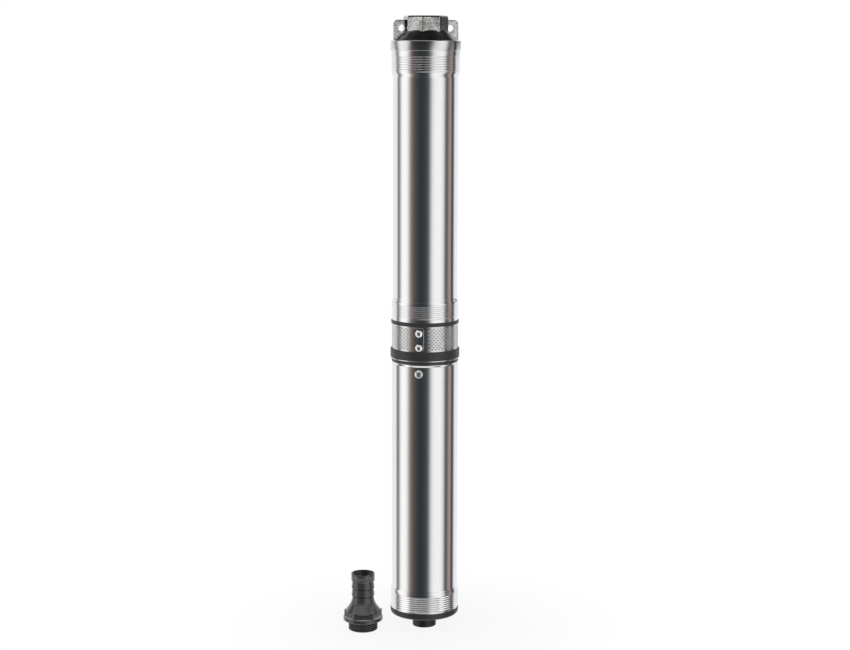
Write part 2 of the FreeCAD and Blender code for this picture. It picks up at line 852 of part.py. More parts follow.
def shaft_seal():
    """The turning half and the standing half of the motor's shaft seal, and the sand slinger."""
    turned_piece(
        "seal_seat",
        rectangle(
            "seal_shaft_d / 2 + seal_gap",
            "seal_chamber_d / 2 - seat_gap",
            "seal_chamber_high - seal_part_len",
            "seal_chamber_high",
        ),
    )
    turned_piece(
        "seal_face",
        rectangle(
            "seal_shaft_d / 2 + seat_gap",
            "seal_face_d / 2",
            "seal_chamber_high - 2 * seal_part_len - seal_axial_gap",
            "seal_chamber_high - seal_part_len - seal_axial_gap",
        ),
    )
    turned_piece(
        "sand_slinger",
        rectangle(
            "shaft_end_d / 2 + seat_gap",
            "slinger_d / 2",
            "motor_top + slinger_lift",
            "motor_top + slinger_lift + slinger_t",
        ),
    )


def suction_bracket():
    """Casting between motor and pump: floor, broad ring, four pillars, top ring and threaded spigot."""
    body = turned_piece(
        "suction_bracket",
        [
            ("floor_bore / 2", "motor_top"),
            ("lip_d / 2", "motor_top"),
            ("lip_d / 2", "ring_low"),
            ("ring_d / 2", "ring_low"),
            ("ring_d / 2", "cage_low"),
            ("ring_d / 2 - ring_wall", "cage_low"),
            ("ring_d / 2 - ring_wall", "floor_high"),
            ("floor_bore / 2", "floor_high"),
        ],
        turn="screw_azimuth",
    )
    pillar = revolve(
        body,
        "pillar",
        rectangle(
            "strainer_bore_r - seat_gap - pillar_t",
            "strainer_bore_r - seat_gap",
            "floor_high",
            "cage_high",
        ),
        sweep="pillar_angle",
    )
    round_the_axis(body, "pillar_ring", pillar, "pillars")
    revolve(
        body,
        "spigot",
        [
            ("funnel_d / 2", "cage_high"),
            ("top_ring_d / 2", "cage_high"),
            ("top_ring_d / 2", "shell_foot"),
            ("shell_low_bore_r - seat_gap", "shell_foot"),
            ("shell_low_bore_r - seat_gap", "shell_foot + shell_low_len - shell_flare"),
            ("shell_fit_r", "shell_foot + shell_low_len - shell_flare + thread_step"),
            ("shell_fit_r", "stack_low"),
            ("eye_hole_r", "stack_low"),
            ("eye_hole_r", "stack_low - funnel_lip"),
        ],
    )
    revolve(
        body,
        "seal_groove",
        rectangle(
            "shell_low_bore_r - seat_gap - ring_seal_side",
            "shell_low_bore_r + overcut",
            "bracket_seal_level - ring_seal_side / 2 - seat_gap",
            "bracket_seal_level + ring_seal_side / 2 + seat_gap",
        ),
        cut=True,
    )
    stud_holes(body, "floor_high", "floor_t")
    sketch = new_sketch(body, "gland_hole_outline", "XY_Plane", "floor_high", "gland_angle")
    place = (value("gland_reach"), 0, value("gland_d"))
    circle(sketch, "gland_reach", "0", "gland_d + 2 * seat_gap", place)
    pocket(body, "gland_hole", sketch, "floor_t")
    sketch = new_sketch(body, "lead_notch_outline", "XY_Plane", "cage_low", "gland_angle")
    outline(
        sketch,
        rectangle(
            "ring_d / 2 - 2 * ring_wall", "ring_d / 2 + overcut", "-notch_w / 2", "notch_w / 2"
        ),
    )
    pocket(body, "lead_notch", sketch, "notch_len")
    sketch = new_sketch(body, "screw_hole_outline", "YZ_Plane")
    screw_hole_circles(sketch)
    pocket(body, "screw_holes", sketch, "ring_d", flip=True)


def screw_hole_circles(sketch):
    """Both strainer screws' holes, one above the other."""
    for step in ("", " + screw_spacing"):
        start = value("cage_low") + value("screw_low") + (value("screw_spacing") if step else 0)
        circle(
            sketch,
            "0",
            "cage_low + screw_low" + step,
            "screw_d + 2 * seat_gap",
            (0, start, value("screw_d")),
        )


def strainer():
    """Perforated sleeve round the pillars. Its plain strip is where its ends overlap at the screws."""
    body = turned_piece(
        "strainer",
        rectangle("strainer_bore_r", "strainer_d / 2", "cage_low", "cage_high"),
        turn="screw_azimuth",
    )
    step = "((360 - 2 * plain_angle) / (hole_columns - 1))"
    row_step = "((cage_len - 2 * strainer_edge) / (hole_rows - 1))"
    # the holes stand in two sets of columns, the second half a step round and half a step up
    for name, shift in (("holes", 0), ("between_holes", 1)):
        swing = f"plain_angle + {shift} * {step} / 2"
        sketch = new_sketch(body, name + "_outline", "YZ_Plane", swing=swing)
        for row in range(int(value("hole_rows")) - shift):
            middle = f"cage_low + strainer_edge + ({row} + {shift} / 2) * {row_step}"
            outline(
                sketch,
                [
                    ("0", f"{middle} - hole_across / 2"),
                    ("hole_across / 2", middle),
                    ("0", f"{middle} + hole_across / 2"),
                    ("-hole_across / 2", middle),
                ],
            )
        hole = pocket(body, name, sketch, "strainer_d", flip=True)
        ring = round_the_axis(body, name + "_ring", hole, f"hole_columns - {shift}")
        ring.setExpression("Angle", expression(f"(hole_columns - 1 - {shift}) * {step}"))
    sketch = new_sketch(body, "screw_hole_outline", "YZ_Plane")
    screw_hole_circles(sketch)
    pocket(body, "screw_holes", sketch, "ring_d", flip=True)


def radial_screw(label, level, seat_r, shank_d, shank_len, head_d, head_t, groups=False):
    """A pan-head screw that points at the pump's axis, its head seated at one radius."""
    body = new_body(label, turn="screw_azimuth", groups=groups)
    sketch = new_sketch(body, label + "_outline", "XZ_Plane", lift=level)
    screw = revolve(
        body,
        label + "_form",
        [
            (f"{seat_r} - {shank_len}", "0"),
            (f"{seat_r} - {shank_len}", f"{shank_d} / 2"),
            (seat_r, f"{shank_d} / 2"),
            (seat_r, f"{head_d} / 2"),
            (f"{seat_r} + {head_t} / 2", f"{head_d} / 2"),
            (f"{seat_r} + {head_t}", f"{head_d} / 3"),
            (f"{seat_r} + {head_t}", "0"),
        ],
        sketch=sketch,
        axis="H_Axis",
    )
    return body, screw


def strainer_screws():
    """Two screws, one above the other."""
    body, screw = radial_screw(
        "strainer_screws",
        "cage_low + screw_low",
        "strainer_d / 2",
        "screw_d",
        "screw_len",
        "screw_head_d",
        "screw_head_t",
        groups=True,
    )
    pair = body.newObject("PartDesign::LinearPattern", "screw_pair")
    pair.Originals = [screw]
    pair.Direction = (origin_item(body, "Z_Axis"), [""])
    pair.setExpression("Length", expression("screw_spacing"))
    pair.Occurrences = 2
    body.Tip = pair


def motor_screw():
    """The larger screw below the bracket, with its washer."""
    radial_screw(
        "motor_screw",
        "motor_screw_level",
        "(washer_seat_r + washer_t)",
        "motor_screw_d",
        "motor_screw_len",
        "motor_screw_head_d",
        "motor_screw_head_t",
    )
    body = new_body("motor_screw_washer", turn="screw_azimuth")
    sketch = new_sketch(body, "washer_outline", "XZ_Plane", lift="motor_screw_level")
    revolve(
        body,
        "washer_form",
        rectangle(
            "washer_seat_r",
            "washer_seat_r + washer_t",
            "motor_screw_d / 2 + seat_gap",
            "washer_d / 2",
        ),
        sketch=sketch,
        axis="H_Axis",
    )


def motor_fasteners():
    """Four studs out of the end bell and the nuts that clamp the bracket's floor."""
    body = new_body("motor_studs", turn="screw_azimuth", groups=True)
    low = "motor_top - stud_depth"
    sketch = new_sketch(body, "stud_outline", "XY_Plane", low, "180 / pillars")
    circle(
        sketch,
        "stud_circle_d / 2",
        "0",
        "stud_d",
        (value("stud_circle_d") / 2, 0, value("stud_d")),
    )
    stud = pad(body, "stud", sketch, "stud_depth + floor_t + nut_t + stud_over")
    round_the_axis(body, "stud_ring", stud, "pillars")
    body = new_body("stud_nuts", turn="screw_azimuth", groups=True)
    sketch = new_sketch(body, "nut_outline", "XY_Plane", "floor_high", "180 / pillars")
    regular_polygon(sketch, 6, "nut_af", "stud_circle_d / 2", value("stud_circle_d") / 2)
    circle(
        sketch,
        "stud_circle_d / 2",
        "0",
        "stud_d + 2 * seat_gap",
        (value("stud_circle_d") / 2, 0, value("stud_d")),
    )
    nut = pad(body, "nut", sketch, "nut_t")
    round_the_axis(body, "nut_ring", nut, "pillars")


def lead_gland():
    """Inlet of the motor lead: a bush through the bracket's floor into the end bell."""
    body = new_body("lead_gland", turn="screw_azimuth")
    low = "motor_top - gland_depth"
    sketch = new_sketch(body, "gland_outline", "XY_Plane", low, "gland_angle")
    place = (value("gland_reach"), 0, value("gland_d"))
    circle(sketch, "gland_reach", "0", "gland_d - 2 * seat_gap", place)
    pad(body, "gland_form", sketch, "gland_depth + floor_t + gland_over")
    sketch = new_sketch(
        body, "gland_bore_outline", "XY_Plane", "floor_high + gland_over", "gland_angle"
    )
    place = (value("gland_reach"), 0, value("gland_bore"))
    circle(sketch, "gland_reach", "0", "gland_bore", place)
    pocket(body, "gland_bore_cut", sketch, "floor_t + gland_over")


def coupling():
    """Sleeve that joins the round motor shaft to the hexagonal pump shaft, with its two pins."""
    body = turned_piece(
        "coupling",
        rectangle("shaft_end_d / 2 + seat_gap", "coupling_d / 2", "coupling_low", "shaft_end"),
    )
    revolve(
        body,
        "upper_half",
        rectangle("0", "coupling_d / 2", "shaft_end", "coupling_high"),
    )
    hexagonal_bore(body, "shaft_socket", "shaft_end", "coupling_high - shaft_end")
    pins = ("coupling_low + pin_inset", "coupling_high - pin_inset")
    sketch = new_sketch(body, "pin_holes_outline", "YZ_Plane")
    for level in pins:
        start = value(level.split(" ")[0]) + value("pin_inset") * (1 if "+" in level else -1)
        circle(sketch, "0", level, "pin_d + 2 * seat_gap", (0, start, value("pin_d")))
    pocket(body, "pin_holes", sketch, "coupling_d + 2 * overcut", both_ways=True)
    body = new_body("coupling_pins", groups=True)
    sketch = new_sketch(body, "pins_outline", "YZ_Plane")
    for level in pins:
        start = value(level.split(" ")[0]) + value("pin_inset") * (1 if "+" in level else -1)
        circle(sketch, "0", level, "pin_d", (0, start, value("pin_d")))
    pad(body, "pins", sketch, "coupling_d", both_ways=True)


def pump_shaft():
    """Hexagonal shaft with a round threaded stub, its two sleeves and its nut."""
    body = new_body("pump_shaft")
    sketch = new_sketch(body, "shaft_outline", "XY_Plane", "shaft_end + shaft_join_gap")
    regular_polygon(sketch, 6, "shaft_af")
    pad(body, "hexagonal_length", sketch, "spigot_low - shaft_end - shaft_join_gap")
    sketch = new_sketch(body, "stub_outline", "XY_Plane", "spigot_low")
    circle(sketch, "0", "0", "shaft_stub_d", (0, 0, value("shaft_stub_d")))
    pad(body, "stub", sketch, "shaft_stub_len")
    sketch = new_sketch(body, "pin_hole_outline", "YZ_Plane")
    start = value("coupling_high") - value("pin_inset")
    circle(
        sketch,
        "0",
        "coupling_high - pin_inset",
        "pin_d + 2 * seat_gap",
        (0, start, value("pin_d")),
    )
    pocket(body, "pin_hole", sketch, "coupling_d", both_ways=True)
    for label, lower, upper in (
        ("lower_sleeve", "coupling_high", "stack_low"),
        ("top_sleeve", "stack_high", "spigot_low"),
    ):
        body = turned_piece(label, rectangle("0", "sleeve_d / 2", lower, upper))
        hexagonal_bore(body, label + "_bore", lower, f"{upper} - {lower}")
    body = new_body("shaft_nut")
    sketch = new_sketch(body, "shaft_nut_outline", "XY_Plane", "spigot_low")
    regular_polygon(sketch, 6, "shaft_nut_af")
    circle(sketch, "0", "0", "shaft_stub_d + 2 * seat_gap", (0, 0, value("shaft_stub_d")))
    pad(body, "shaft_nut_form", sketch, "shaft_nut_t")


def stage(number):
    """One stage: the bowl with its return vanes, and the closed impeller that turns in it."""
    base = f"(stack_low + {number - 1} * stage_pitch)"
    top = f"(stack_low + {number} * stage_pitch)"
    wall_r = "shell_fit_r"
    inner_r = "shell_fit_r - bowl_wall"
    plate_low = f"{top} - bowl_plate_t"
    return_high = f"{top} - return_plate_drop"
    body = turned_piece(
        f"stage_bowl_{number}",
        [
            (inner_r, base),
            (wall_r, base),
            (wall_r, top),
            ("eye_hole_r", top),
            ("eye_hole_r", plate_low),
            (inner_r, plate_low),
        ],
    )
    vane_in = ("bowl_vane_in", value("bowl_vane_in"))
    vane_out = ("shell_fit_r - bowl_wall / 2", value("shell_fit_r") - value("bowl_wall") / 2)
    vane_len = "return_plate_drop - bowl_plate_t"
    first = vane(body, "return_vane", return_high, vane_len, vane_in, vane_out)
    round_the_axis(body, "return_vane_ring", first, "bowl_vanes")
    revolve(
        body,
        "return_plate",
        rectangle(
            "hub_d / 2 + hub_gap",
            "return_plate_d / 2",
            f"{return_high} - return_plate_t",
            return_high,
        ),
    )
    body = turned_piece(
        f"impeller_{number}",
        [
            ("0", base),
            ("hub_d / 2", base),
            ("hub_d / 2", f"{base} + impeller_lift + impeller_t - shroud_t"),
            ("impeller_d / 2", f"{base} + impeller_lift + impeller_t - shroud_t"),
            ("impeller_d / 2", f"{base} + impeller_lift + impeller_t"),
            ("hub_d / 2", f"{base} + impeller_lift + impeller_t"),
            ("hub_d / 2", top),
            ("0", top),
        ],
    )
    vane_low = f"{base} + impeller_lift + shroud_t"
    eye_r = ("eye_d / 2 - eye_wall / 2", value("eye_d") / 2 - value("eye_wall") / 2)
    rim_r = ("impeller_d / 2", value("impeller_d") / 2)
    first = vane(body, "vane", vane_low, "impeller_t - 2 * shroud_t", eye_r, rim_r)
    round_the_axis(body, "vane_ring", first, "impeller_vanes")
    revolve(
        body,
        "front_shroud",
        [
            ("eye_d / 2 - eye_wall", f"{base} - bowl_plate_t + impeller_lift"),
            ("eye_d / 2", f"{base} - bowl_plate_t + impeller_lift"),
            ("eye_d / 2", f"{base} + impeller_lift"),
            ("impeller_d / 2", f"{base} + impeller_lift"),
            ("impeller_d / 2", vane_low),
            ("eye_d / 2 - eye_wall", vane_low),
        ],
    )
    hexagonal_bore(body, "shaft_bore", base, f"{top} - {base}")


def top_bearing():
    """Spider that carries the pump shaft's upper bush."""
    body = turned_piece(
        "top_bearing_housing",
        rectangle("shell_fit_r - top_housing_wall", "shell_fit_r", "stack_high", "spigot_low"),
    )
    sketch = new_sketch(body, "spoke_outline", "XY_Plane", "spigot_low - spoke_len")
    outline(
        sketch,
        rectangle(
            "bush_r + bush_wall + hub_wall / 2",
            "shell_fit_r - top_housing_wall / 2",
            "-spoke_w / 2",
            "spoke_w / 2",
        ),
    )
    spoke = pad(body, "spoke", sketch, "spoke_len")
    round_the_axis(body, "spoke_ring", spoke, "spokes")
    revolve(
        body,
        "hub",
        rectangle(
            "bush_r + bush_wall + seat_gap",
            "bush_r + bush_wall + hub_wall",
            "bush_high - bush_len",
            "bush_high",
        ),
    )
    turned_piece(
        "top_bearing_bush",
        rectangle("bush_r", "bush_r + bush_wall", "bush_high - bush_len", "bush_high"),
    )


def pump_shell():
    """Steel tube of the pump end, widened at both ends where its threads are rolled."""
    turned_piece(
        "pump_shell",
        [
            ("shell_low_bore_r", "shell_foot"),
            ("shell_low_d / 2", "shell_foot"),
            ("shell_low_d / 2", "shell_foot + shell_low_len"),
            ("shell_d / 2", "shell_foot + shell_low_len + shell_flare"),
            ("shell_d / 2", "shell_top - shell_top_len"),
            ("shell_top_d / 2", "shell_top - shell_top_len + shell_flare"),
            ("shell_top_d / 2", "shell_top"),
            ("shell_top_bore_r", "shell_top"),
            ("shell_top_bore_r", "shell_top - shell_top_len + shell_flare"),
            ("shell_bore_r", "shell_top - shell_top_len"),
            ("shell_bore_r", "shell_foot + shell_low_len"),
            ("shell_low_bore_r", "shell_foot + shell_low_len - shell_flare / 2"),
        ],
    )


def discharge_head():
    """Cast head: octagonal outlet with two rope ears on a turned cone, flange and threaded spigot."""
    body = turned_piece(
        "discharge_head",
        [
            ("0", "spigot_low"),
            ("shell_fit_r", "spigot_low"),
            ("shell_fit_r", "shell_top - head_thread_len + shell_flare - thread_step"),
            ("shell_top_bore_r - seat_gap", "shell_top - head_thread_len + shell_flare"),
            ("shell_top_bore_r - seat_gap", "shell_top"),
            ("flange_d / 2", "shell_top"),
            ("flange_d / 2", "flange_top"),
            ("cone_foot_d / 2", "flange_top"),
            ("octagon_af / 2", "flange_top + cone_len"),
            ("0", "flange_top + cone_len"),
        ],
        turn="head_turn",
    )
    sketch = new_sketch(body, "octagon_outline", "XY_Plane", "flange_top")
    regular_polygon(sketch, 8, "octagon_af")
    pad(body, "octagon", sketch, "octagon_rise")
    top = value("head_top")
    dress_edges(
        body,
        "octagon_top_bevel",
        "Chamfer",
        "octagon_bevel",
        lambda edge: edge.BoundBox.ZMin > top - 0.01,
    )
    sketch = new_sketch(body, "ear_outline")
    outline(sketch, rectangle("octagon_af / 3", "ear_reach", "flange_top", "flange_top + ear_rise"))
    ear = pad(body, "ear", sketch, "ear_t", both_ways=True)
    other = body.newObject("PartDesign::Mirrored", "other_ear")
    other.Originals = [ear]
    other.MirrorPlane = (origin_item(body, "YZ_Plane"), [""])
    body.Tip = other
    tip = value("flange_top") + value("ear_rise")

    def ear_corner(edge):
        box = edge.BoundBox
        outer = min(abs(box.XMin), abs(box.XMax)) > value("ear_reach") - 0.01
        return outer and box.ZMin > tip - 0.01

    dress_edges(body, "ear_rounding", "Fillet", "ear_round", ear_corner)
    sketch = new_sketch(body, "ear_holes_outline")
    reach = value("ear_hole_reach")
    for side, start in (("", reach), ("-", -reach)):
        hole = (start, value("ear_hole_level"), value("ear_hole_d"))
        circle(sketch, side + "ear_hole_reach", "ear_hole_level", "ear_hole_d", hole)
    pocket(body, "ear_holes", sketch, "ear_t + 2 * overcut", both_ways=True)
    revolve(
        body,
        "waterway",
        [
            ("0", "spigot_low"),
            ("spigot_mouth_d / 2", "spigot_low"),
            ("seat_pocket_d / 2", "seat_low"),
            ("seat_pocket_d / 2", "chamber_low"),
            ("chamber_d / 2", "chamber_low"),
            ("chamber_d / 2", "relief_low"),
            ("relief_d / 2", "relief_low"),
            ("relief_d / 2", "outlet_low"),
            ("outlet_minor_d / 2", "outlet_low"),
            ("outlet_minor_d / 2", "head_top - outlet_bevel"),
            ("outlet_minor_d / 2 + outlet_bevel", "head_top"),
            ("0", "head_top"),
        ],
        cut=True,
    )
    revolve(
        body,
        "seal_groove",
        rectangle(
            "shell_fit_r - ring_seal_side",
            "shell_fit_r + overcut",
            "head_seal_level - ring_seal_side / 2 - seat_gap",
            "head_seal_level + ring_seal_side / 2 + seat_gap",
        ),
        cut=True,
    )


def check_valve():
    """Seat, lifting poppet with its rubber ring, spider that guides the stem, and the spring."""
    turned_piece(
        "valve_seat",
        rectangle("seat_bore / 2", "seat_pocket_d / 2 - seat_gap", "seat_low", "chamber_low"),
    )
    turned_piece(
        "valve_poppet",
        [
            ("0", "valve_disc_low - valve_nose_len"),
            ("valve_nose_tip_d / 2", "valve_disc_low - valve_nose_len"),
            ("valve_nose_d / 2", "valve_disc_low - valve_nose_len + valve_nose_bevel"),
            ("valve_nose_d / 2", "valve_disc_low"),
            ("valve_disc_d / 2", "valve_disc_low"),
            ("valve_disc_d / 2", "valve_disc_high"),
            ("stem_d / 2", "valve_disc_high"),
            ("stem_d / 2", "relief_low + stem_over"),
            ("0", "relief_low + stem_over"),
        ],
    )
    turned_piece(
        "valve_seal",
        rectangle(
            "valve_nose_d / 2 + seat_gap", "valve_seal_d / 2", "valve_seal_low", "valve_disc_low"
        ),
    )
    body = turned_piece(
        "valve_guide",
        rectangle(
            "chamber_d / 2 - guide_rim_wall", "chamber_d / 2 - seat_gap", "guide_low", "relief_low"
        ),
        turn="head_turn",
    )
    sketch = new_sketch(body, "arm_outline", "XY_Plane", "guide_low")
    outline(
        sketch,
        rectangle(
            "guide_hub_d / 2 - guide_sink",
            "chamber_d / 2 - guide_rim_wall / 2",
            "-guide_arm_w / 2",
            "guide_arm_w / 2",
        ),
    )
    arm = pad(body, "arm", sketch, "guide_len")
    round_the_axis(body, "arm_ring", arm, "guide_arms")
    revolve(
        body,
        "guide_hub",
        rectangle("stem_d / 2 + running_gap", "guide_hub_d / 2", "guide_low", "relief_low"),
    )
    body = new_body("valve_spring")
    sketch = new_sketch(body, "wire_outline")
    outline(
        sketch,
        rectangle(
            "spring_d / 2 - spring_wire",
            "spring_d / 2",
            "valve_disc_high + spring_end_gap",
            "valve_disc_high + spring_end_gap + spring_wire",
        ),
    )
    coil = body.newObject("PartDesign::AdditiveHelix", "coil")
    coil.Profile = sketch
    coil.ReferenceAxis = (sketch, ["V_Axis"])
    coil.Mode = "height-turns-angle"
    rise = "guide_low - valve_disc_high - 2 * spring_end_gap - spring_wire"
    coil.setExpression("Height", expression(rise))
    coil.setExpression("Turns", expression("spring_turns"))


def hose_adapter():
    """Hose tail: male outlet thread, round flange, hexagon, cone, two barbs and a top thread."""
    body = new_body("hose_adapter")
    spin = FreeCAD.Rotation(FreeCAD.Vector(0, 0, 1), 1)
    body.Placement = FreeCAD.Placement(FreeCAD.Vector(), spin)
    body.setExpression("Placement.Base.x", expression("adapter_x"))
    body.setExpression("Placement.Base.y", expression("adapter_y"))
    body.setExpression("Placement.Rotation.Angle", expression("adapter_turn"))
    corners = [
        ("0", "0"),
        ("adapter_thread_d / 2 - adapter_bevel", "0"),
        ("adapter_thread_d / 2", "adapter_bevel"),
        ("adapter_thread_d / 2", "adapter_thread_len"),
        ("adapter_flange_d / 2", "adapter_thread_len"),
        ("adapter_flange_d / 2", "adapter_hex_low"),
        ("adapter_cone_d / 2 - adapter_bevel", "adapter_hex_low"),
        ("adapter_cone_d / 2", "adapter_cone_low"),
        ("adapter_cone_top_d / 2", "adapter_cone_high"),
    ]
    for k in range(int(value("barbs"))):
        corners.append(("adapter_neck_d / 2", f"barb_low + {k} * barb_pitch - barb_step"))
        corners.append(("barb_d / 2", f"barb_low + {k} * barb_pitch"))
    corners += [
        ("adapter_neck_d / 2", "barb_high - 2 * barb_step"),
        ("adapter_top_d / 2", "barb_high - barb_step"),
        ("adapter_top_d / 2", "adapter_high - adapter_bevel"),
        ("adapter_top_d / 2 - adapter_bevel", "adapter_high"),
        ("0", "adapter_high"),
    ]
    revolve(body, "adapter_form", corners)
    sketch = new_sketch(body, "adapter_hex_outline", "XY_Plane", "adapter_hex_low")
    regular_polygon(sketch, 6, "adapter_hex_af")
    pad(body, "adapter_hex", sketch, "adapter_hex_t")
    revolve(
        body,
        "adapter_waterway",
        rectangle("0", "adapter_bore / 2", "0", "adapter_high"),
        cut=True,
    )


def build():
    """Every piece, from the floor up."""
    bottom_cap()
    diaphragm()
    motor_housing()
    lower_bearing_housing()
    bearing("lower_bearing", "lower_bearing_low", "lower_bearing_high")
    stator()
    motor_rotor()
    motor_end_bell()
    bearing("upper_bearing", "upper_bearing_low", "upper_bearing_high")
    seal_ring("bell_seal", "motor_fit_r", "bell_seal_level")
    shaft_seal()
    motor_screw()
    motor_fasteners()
    lead_gland()
    suction_bracket()
    seal_ring("bracket_seal", "(shell_low_bore_r - seat_gap)", "bracket_seal_level")
    strainer()
    strainer_screws()
    coupling()
    pump_shaft()
    for number in range(1, int(value("stage_count")) + 1):
        stage(number)
    top_bearing()
    pump_shell()
    seal_ring("head_seal", "shell_fit_r", "head_seal_level")
    discharge_head()
    check_valve()
    hose_adapter()
    doc.recompute()


def check():
    """Stop if a feature failed, a cut took nothing away or a piece is no valid solid."""
    faults = []
    for item in doc.Objects:
        if "Invalid" in item.State or "Error" in item.State:
            faults.append(f"{item.Label}: {item.State}")
    for cut in cuts:
        whole = cut.BaseFeature.Shape
        if cut.isValid() and not whole.isNull() and cut.Shape.Volume > whole.Volume - 1e-3:
            faults.append(f"{cut.Label}: cuts nothing")
    for body in pieces:
        if body.Shape.isNull() or not body.Shape.isValid() or not body.Shape.Solids:
            faults.append(f"{body.Label}: no valid solid")
    if faults:
        raise RuntimeError("\n".join(faults))


def save():
    """One file for each piece, named after it."""
    os.makedirs("parts", exist_ok=True)
    for body in pieces:
        body.Shape.exportStep(f"parts/{body.Label}.step")
        print(f"{body.Label}: {len(body.Shape.Solids)} solid, {body.Shape.Volume / 1000:.1f} cm3")


build()
check()
save()
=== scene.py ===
# %% [markdown]
# # A borehole pump and its hose adapter
# The object is a slim steel pump that hangs in a well: a multistage pump end on top, a perforated
# strainer in the middle, a motor below, and a black hose adapter that stands beside it. The sizes
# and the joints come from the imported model. This script dresses that model: finer meshes for what
# can be seen, a finish for every piece, a pale studio and a camera.

# %% Load the model and keep its box
import math
from contextlib import contextmanager

import bmesh
import bpy
from mathutils import Matrix, Vector


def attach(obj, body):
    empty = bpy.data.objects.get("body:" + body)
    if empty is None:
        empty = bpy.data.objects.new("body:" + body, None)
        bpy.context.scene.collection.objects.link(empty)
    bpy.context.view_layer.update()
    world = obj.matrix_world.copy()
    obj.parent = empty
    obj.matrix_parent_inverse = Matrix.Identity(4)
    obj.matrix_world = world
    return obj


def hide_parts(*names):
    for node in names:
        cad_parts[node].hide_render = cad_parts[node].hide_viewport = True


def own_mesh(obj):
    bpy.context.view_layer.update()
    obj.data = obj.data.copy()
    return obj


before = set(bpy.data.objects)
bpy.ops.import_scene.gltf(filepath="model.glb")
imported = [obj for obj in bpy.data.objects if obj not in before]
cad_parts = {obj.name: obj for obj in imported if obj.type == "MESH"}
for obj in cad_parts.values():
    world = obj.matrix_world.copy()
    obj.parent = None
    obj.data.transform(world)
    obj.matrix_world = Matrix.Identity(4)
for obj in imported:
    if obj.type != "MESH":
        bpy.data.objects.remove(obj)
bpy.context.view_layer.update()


# %% [markdown]
# ## Working in millimetres
# Sizes are easier to read in millimetres, but Blender's scene is in metres, so the helpers below
# turn one into the other. They make an object out of points and faces, mark its real corners as
# sharp, let it ride on a body of the model, and say which nodes of the model it stands for.

# %% From points and faces to a piece
MM = 0.001
SHARP = math.radians(38)
DOUBLED, DEGENERATE = 1e-6, 1e-7
BIG_FACES = 80


def add_object(name, data):
    """An object in the scene that holds a mesh, a lamp or a camera."""
    thing = bpy.data.objects.new(name, data)
    bpy.context.scene.collection.objects.link(thing)
    return thing


def new_piece(name, points, faces):
    """An object from points in millimetres and faces as lists of point numbers."""
    mesh = bpy.data.meshes.new(name)
    mesh.from_pydata([[c * MM for c in p] for p in points], [], faces)
    mesh.validate()
    return add_object(name, mesh)


@contextmanager
def open_mesh(piece):
    """A piece's mesh, open for edits and written back after them."""
    work = bmesh.new()
    work.from_mesh(piece.data)
    yield work
    work.to_mesh(piece.data)
    work.free()


def tidy_mesh(piece):
    """Faces all look outwards, doubled points are joined, and only real corners stay sharp."""
    with open_mesh(piece) as work:
        bmesh.ops.remove_doubles(work, verts=work.verts, dist=DOUBLED)
        bmesh.ops.dissolve_degenerate(work, edges=work.edges, dist=DEGENERATE)
        bmesh.ops.recalc_face_normals(work, faces=work.faces)
    piece.data.shade_smooth()
    piece.data.set_sharp_from_angle(angle=SHARP)


def dress(piece, body, nodes, slot, *finishes):
    """Give a piece its finishes, its body and the nodes that it stands for; slot is not used."""
    tidy_mesh(piece)
    # the big faces decide the shading at their rims, so that flat faces look flat
    shading = piece.modifiers.new("even_shading", "WEIGHTED_NORMAL")
    shading.weight, shading.keep_sharp = BIG_FACES, True
    piece.data.materials.clear()
    for finish in finishes:
        piece.data.materials.append(finish)
    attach(piece, body)
    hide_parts(*nodes)
    print(f"{piece.name}: {len(piece.data.polygons)} faces, stands for {', '.join(nodes)}")


def pick_finishes(piece, number_of):
    """Give each face the finish whose number number_of(centre in mm, normal) says."""
    for face in piece.data.polygons:
        face.material_index = number_of(face.center / MM, face.normal)


# %% [markdown]
# ## Turned pieces
# Most of the pump is turned or rolled, so one helper covers it: a closed outline of radius and
# height is swept round the axis. A small rounding is what catches the light on a turned edge, so
# each corner of an outline can carry its own. The Screw modifier could sweep the outline too, but
# a hand-made sweep can also press a thread into the wall.

# %% A rounded outline and its sweep
def polar(radius, angle):
    """(x, y) from a radius and an angle in radians."""
    return (radius * math.cos(angle), radius * math.sin(angle))


def rounded(corners, steps=4):
    """Outline points from corners of (radius, height) or (radius, height, rounding)."""
    points = []
    count = len(corners)
    for k, corner in enumerate(corners):
        here = Vector(corner[:2])
        size = corner[2] if len(corner) > 2 else 0
        if not size:
            points.append((here.x, here.y))
            continue
        before = (Vector(corners[k - 1][:2]) - here).normalized()
        after = (Vector(corners[(k + 1) % count][:2]) - here).normalized()
        for s in range(steps + 1):
            t = s / steps
            place = here + before * size * (1 - t) ** 2 + after * size * t**2
            points.append((place.x, place.y))
    return points


def band(here, there, around):
    """Faces between two rings of points, from the number of each ring's first point."""
    pairs = [(k, (k + 1) % around) for k in range(around)]
    return [[here + k, here + after, there + after, there + k] for k, after in pairs]


def sweep(name, outline, around=160, ripple=None):
    """Turn a closed outline about the upright axis. ripple moves a point's radius."""
    points, faces = [], []
    for radius, height in outline:
        for k in range(around):
            angle = 2 * math.pi * k / around
            r = radius + (ripple(angle, radius, height) if ripple else 0)
            points.append((*polar(r, angle), height))
    rows = len(outline)
    for row in range(rows):
        faces += band(row * around, (row + 1) % rows * around, around)
    return new_piece(name, points, faces)


# %% [markdown]
# ## Threads
# The steel tubes have coarse threads rolled into their walls, and the adapter has moulded ones. A
# thread is one groove that climbs as it goes round and runs out at its ends, so the wave below is
# a true helix that fades in and out.

# %% A helical wave for a wall
RUN_OUT = 1.4


def ease(t):
    """0 below 0, 1 above 1 and smooth between them."""
    t = min(max(t, 0), 1)
    return t * t * (3 - 2 * t)


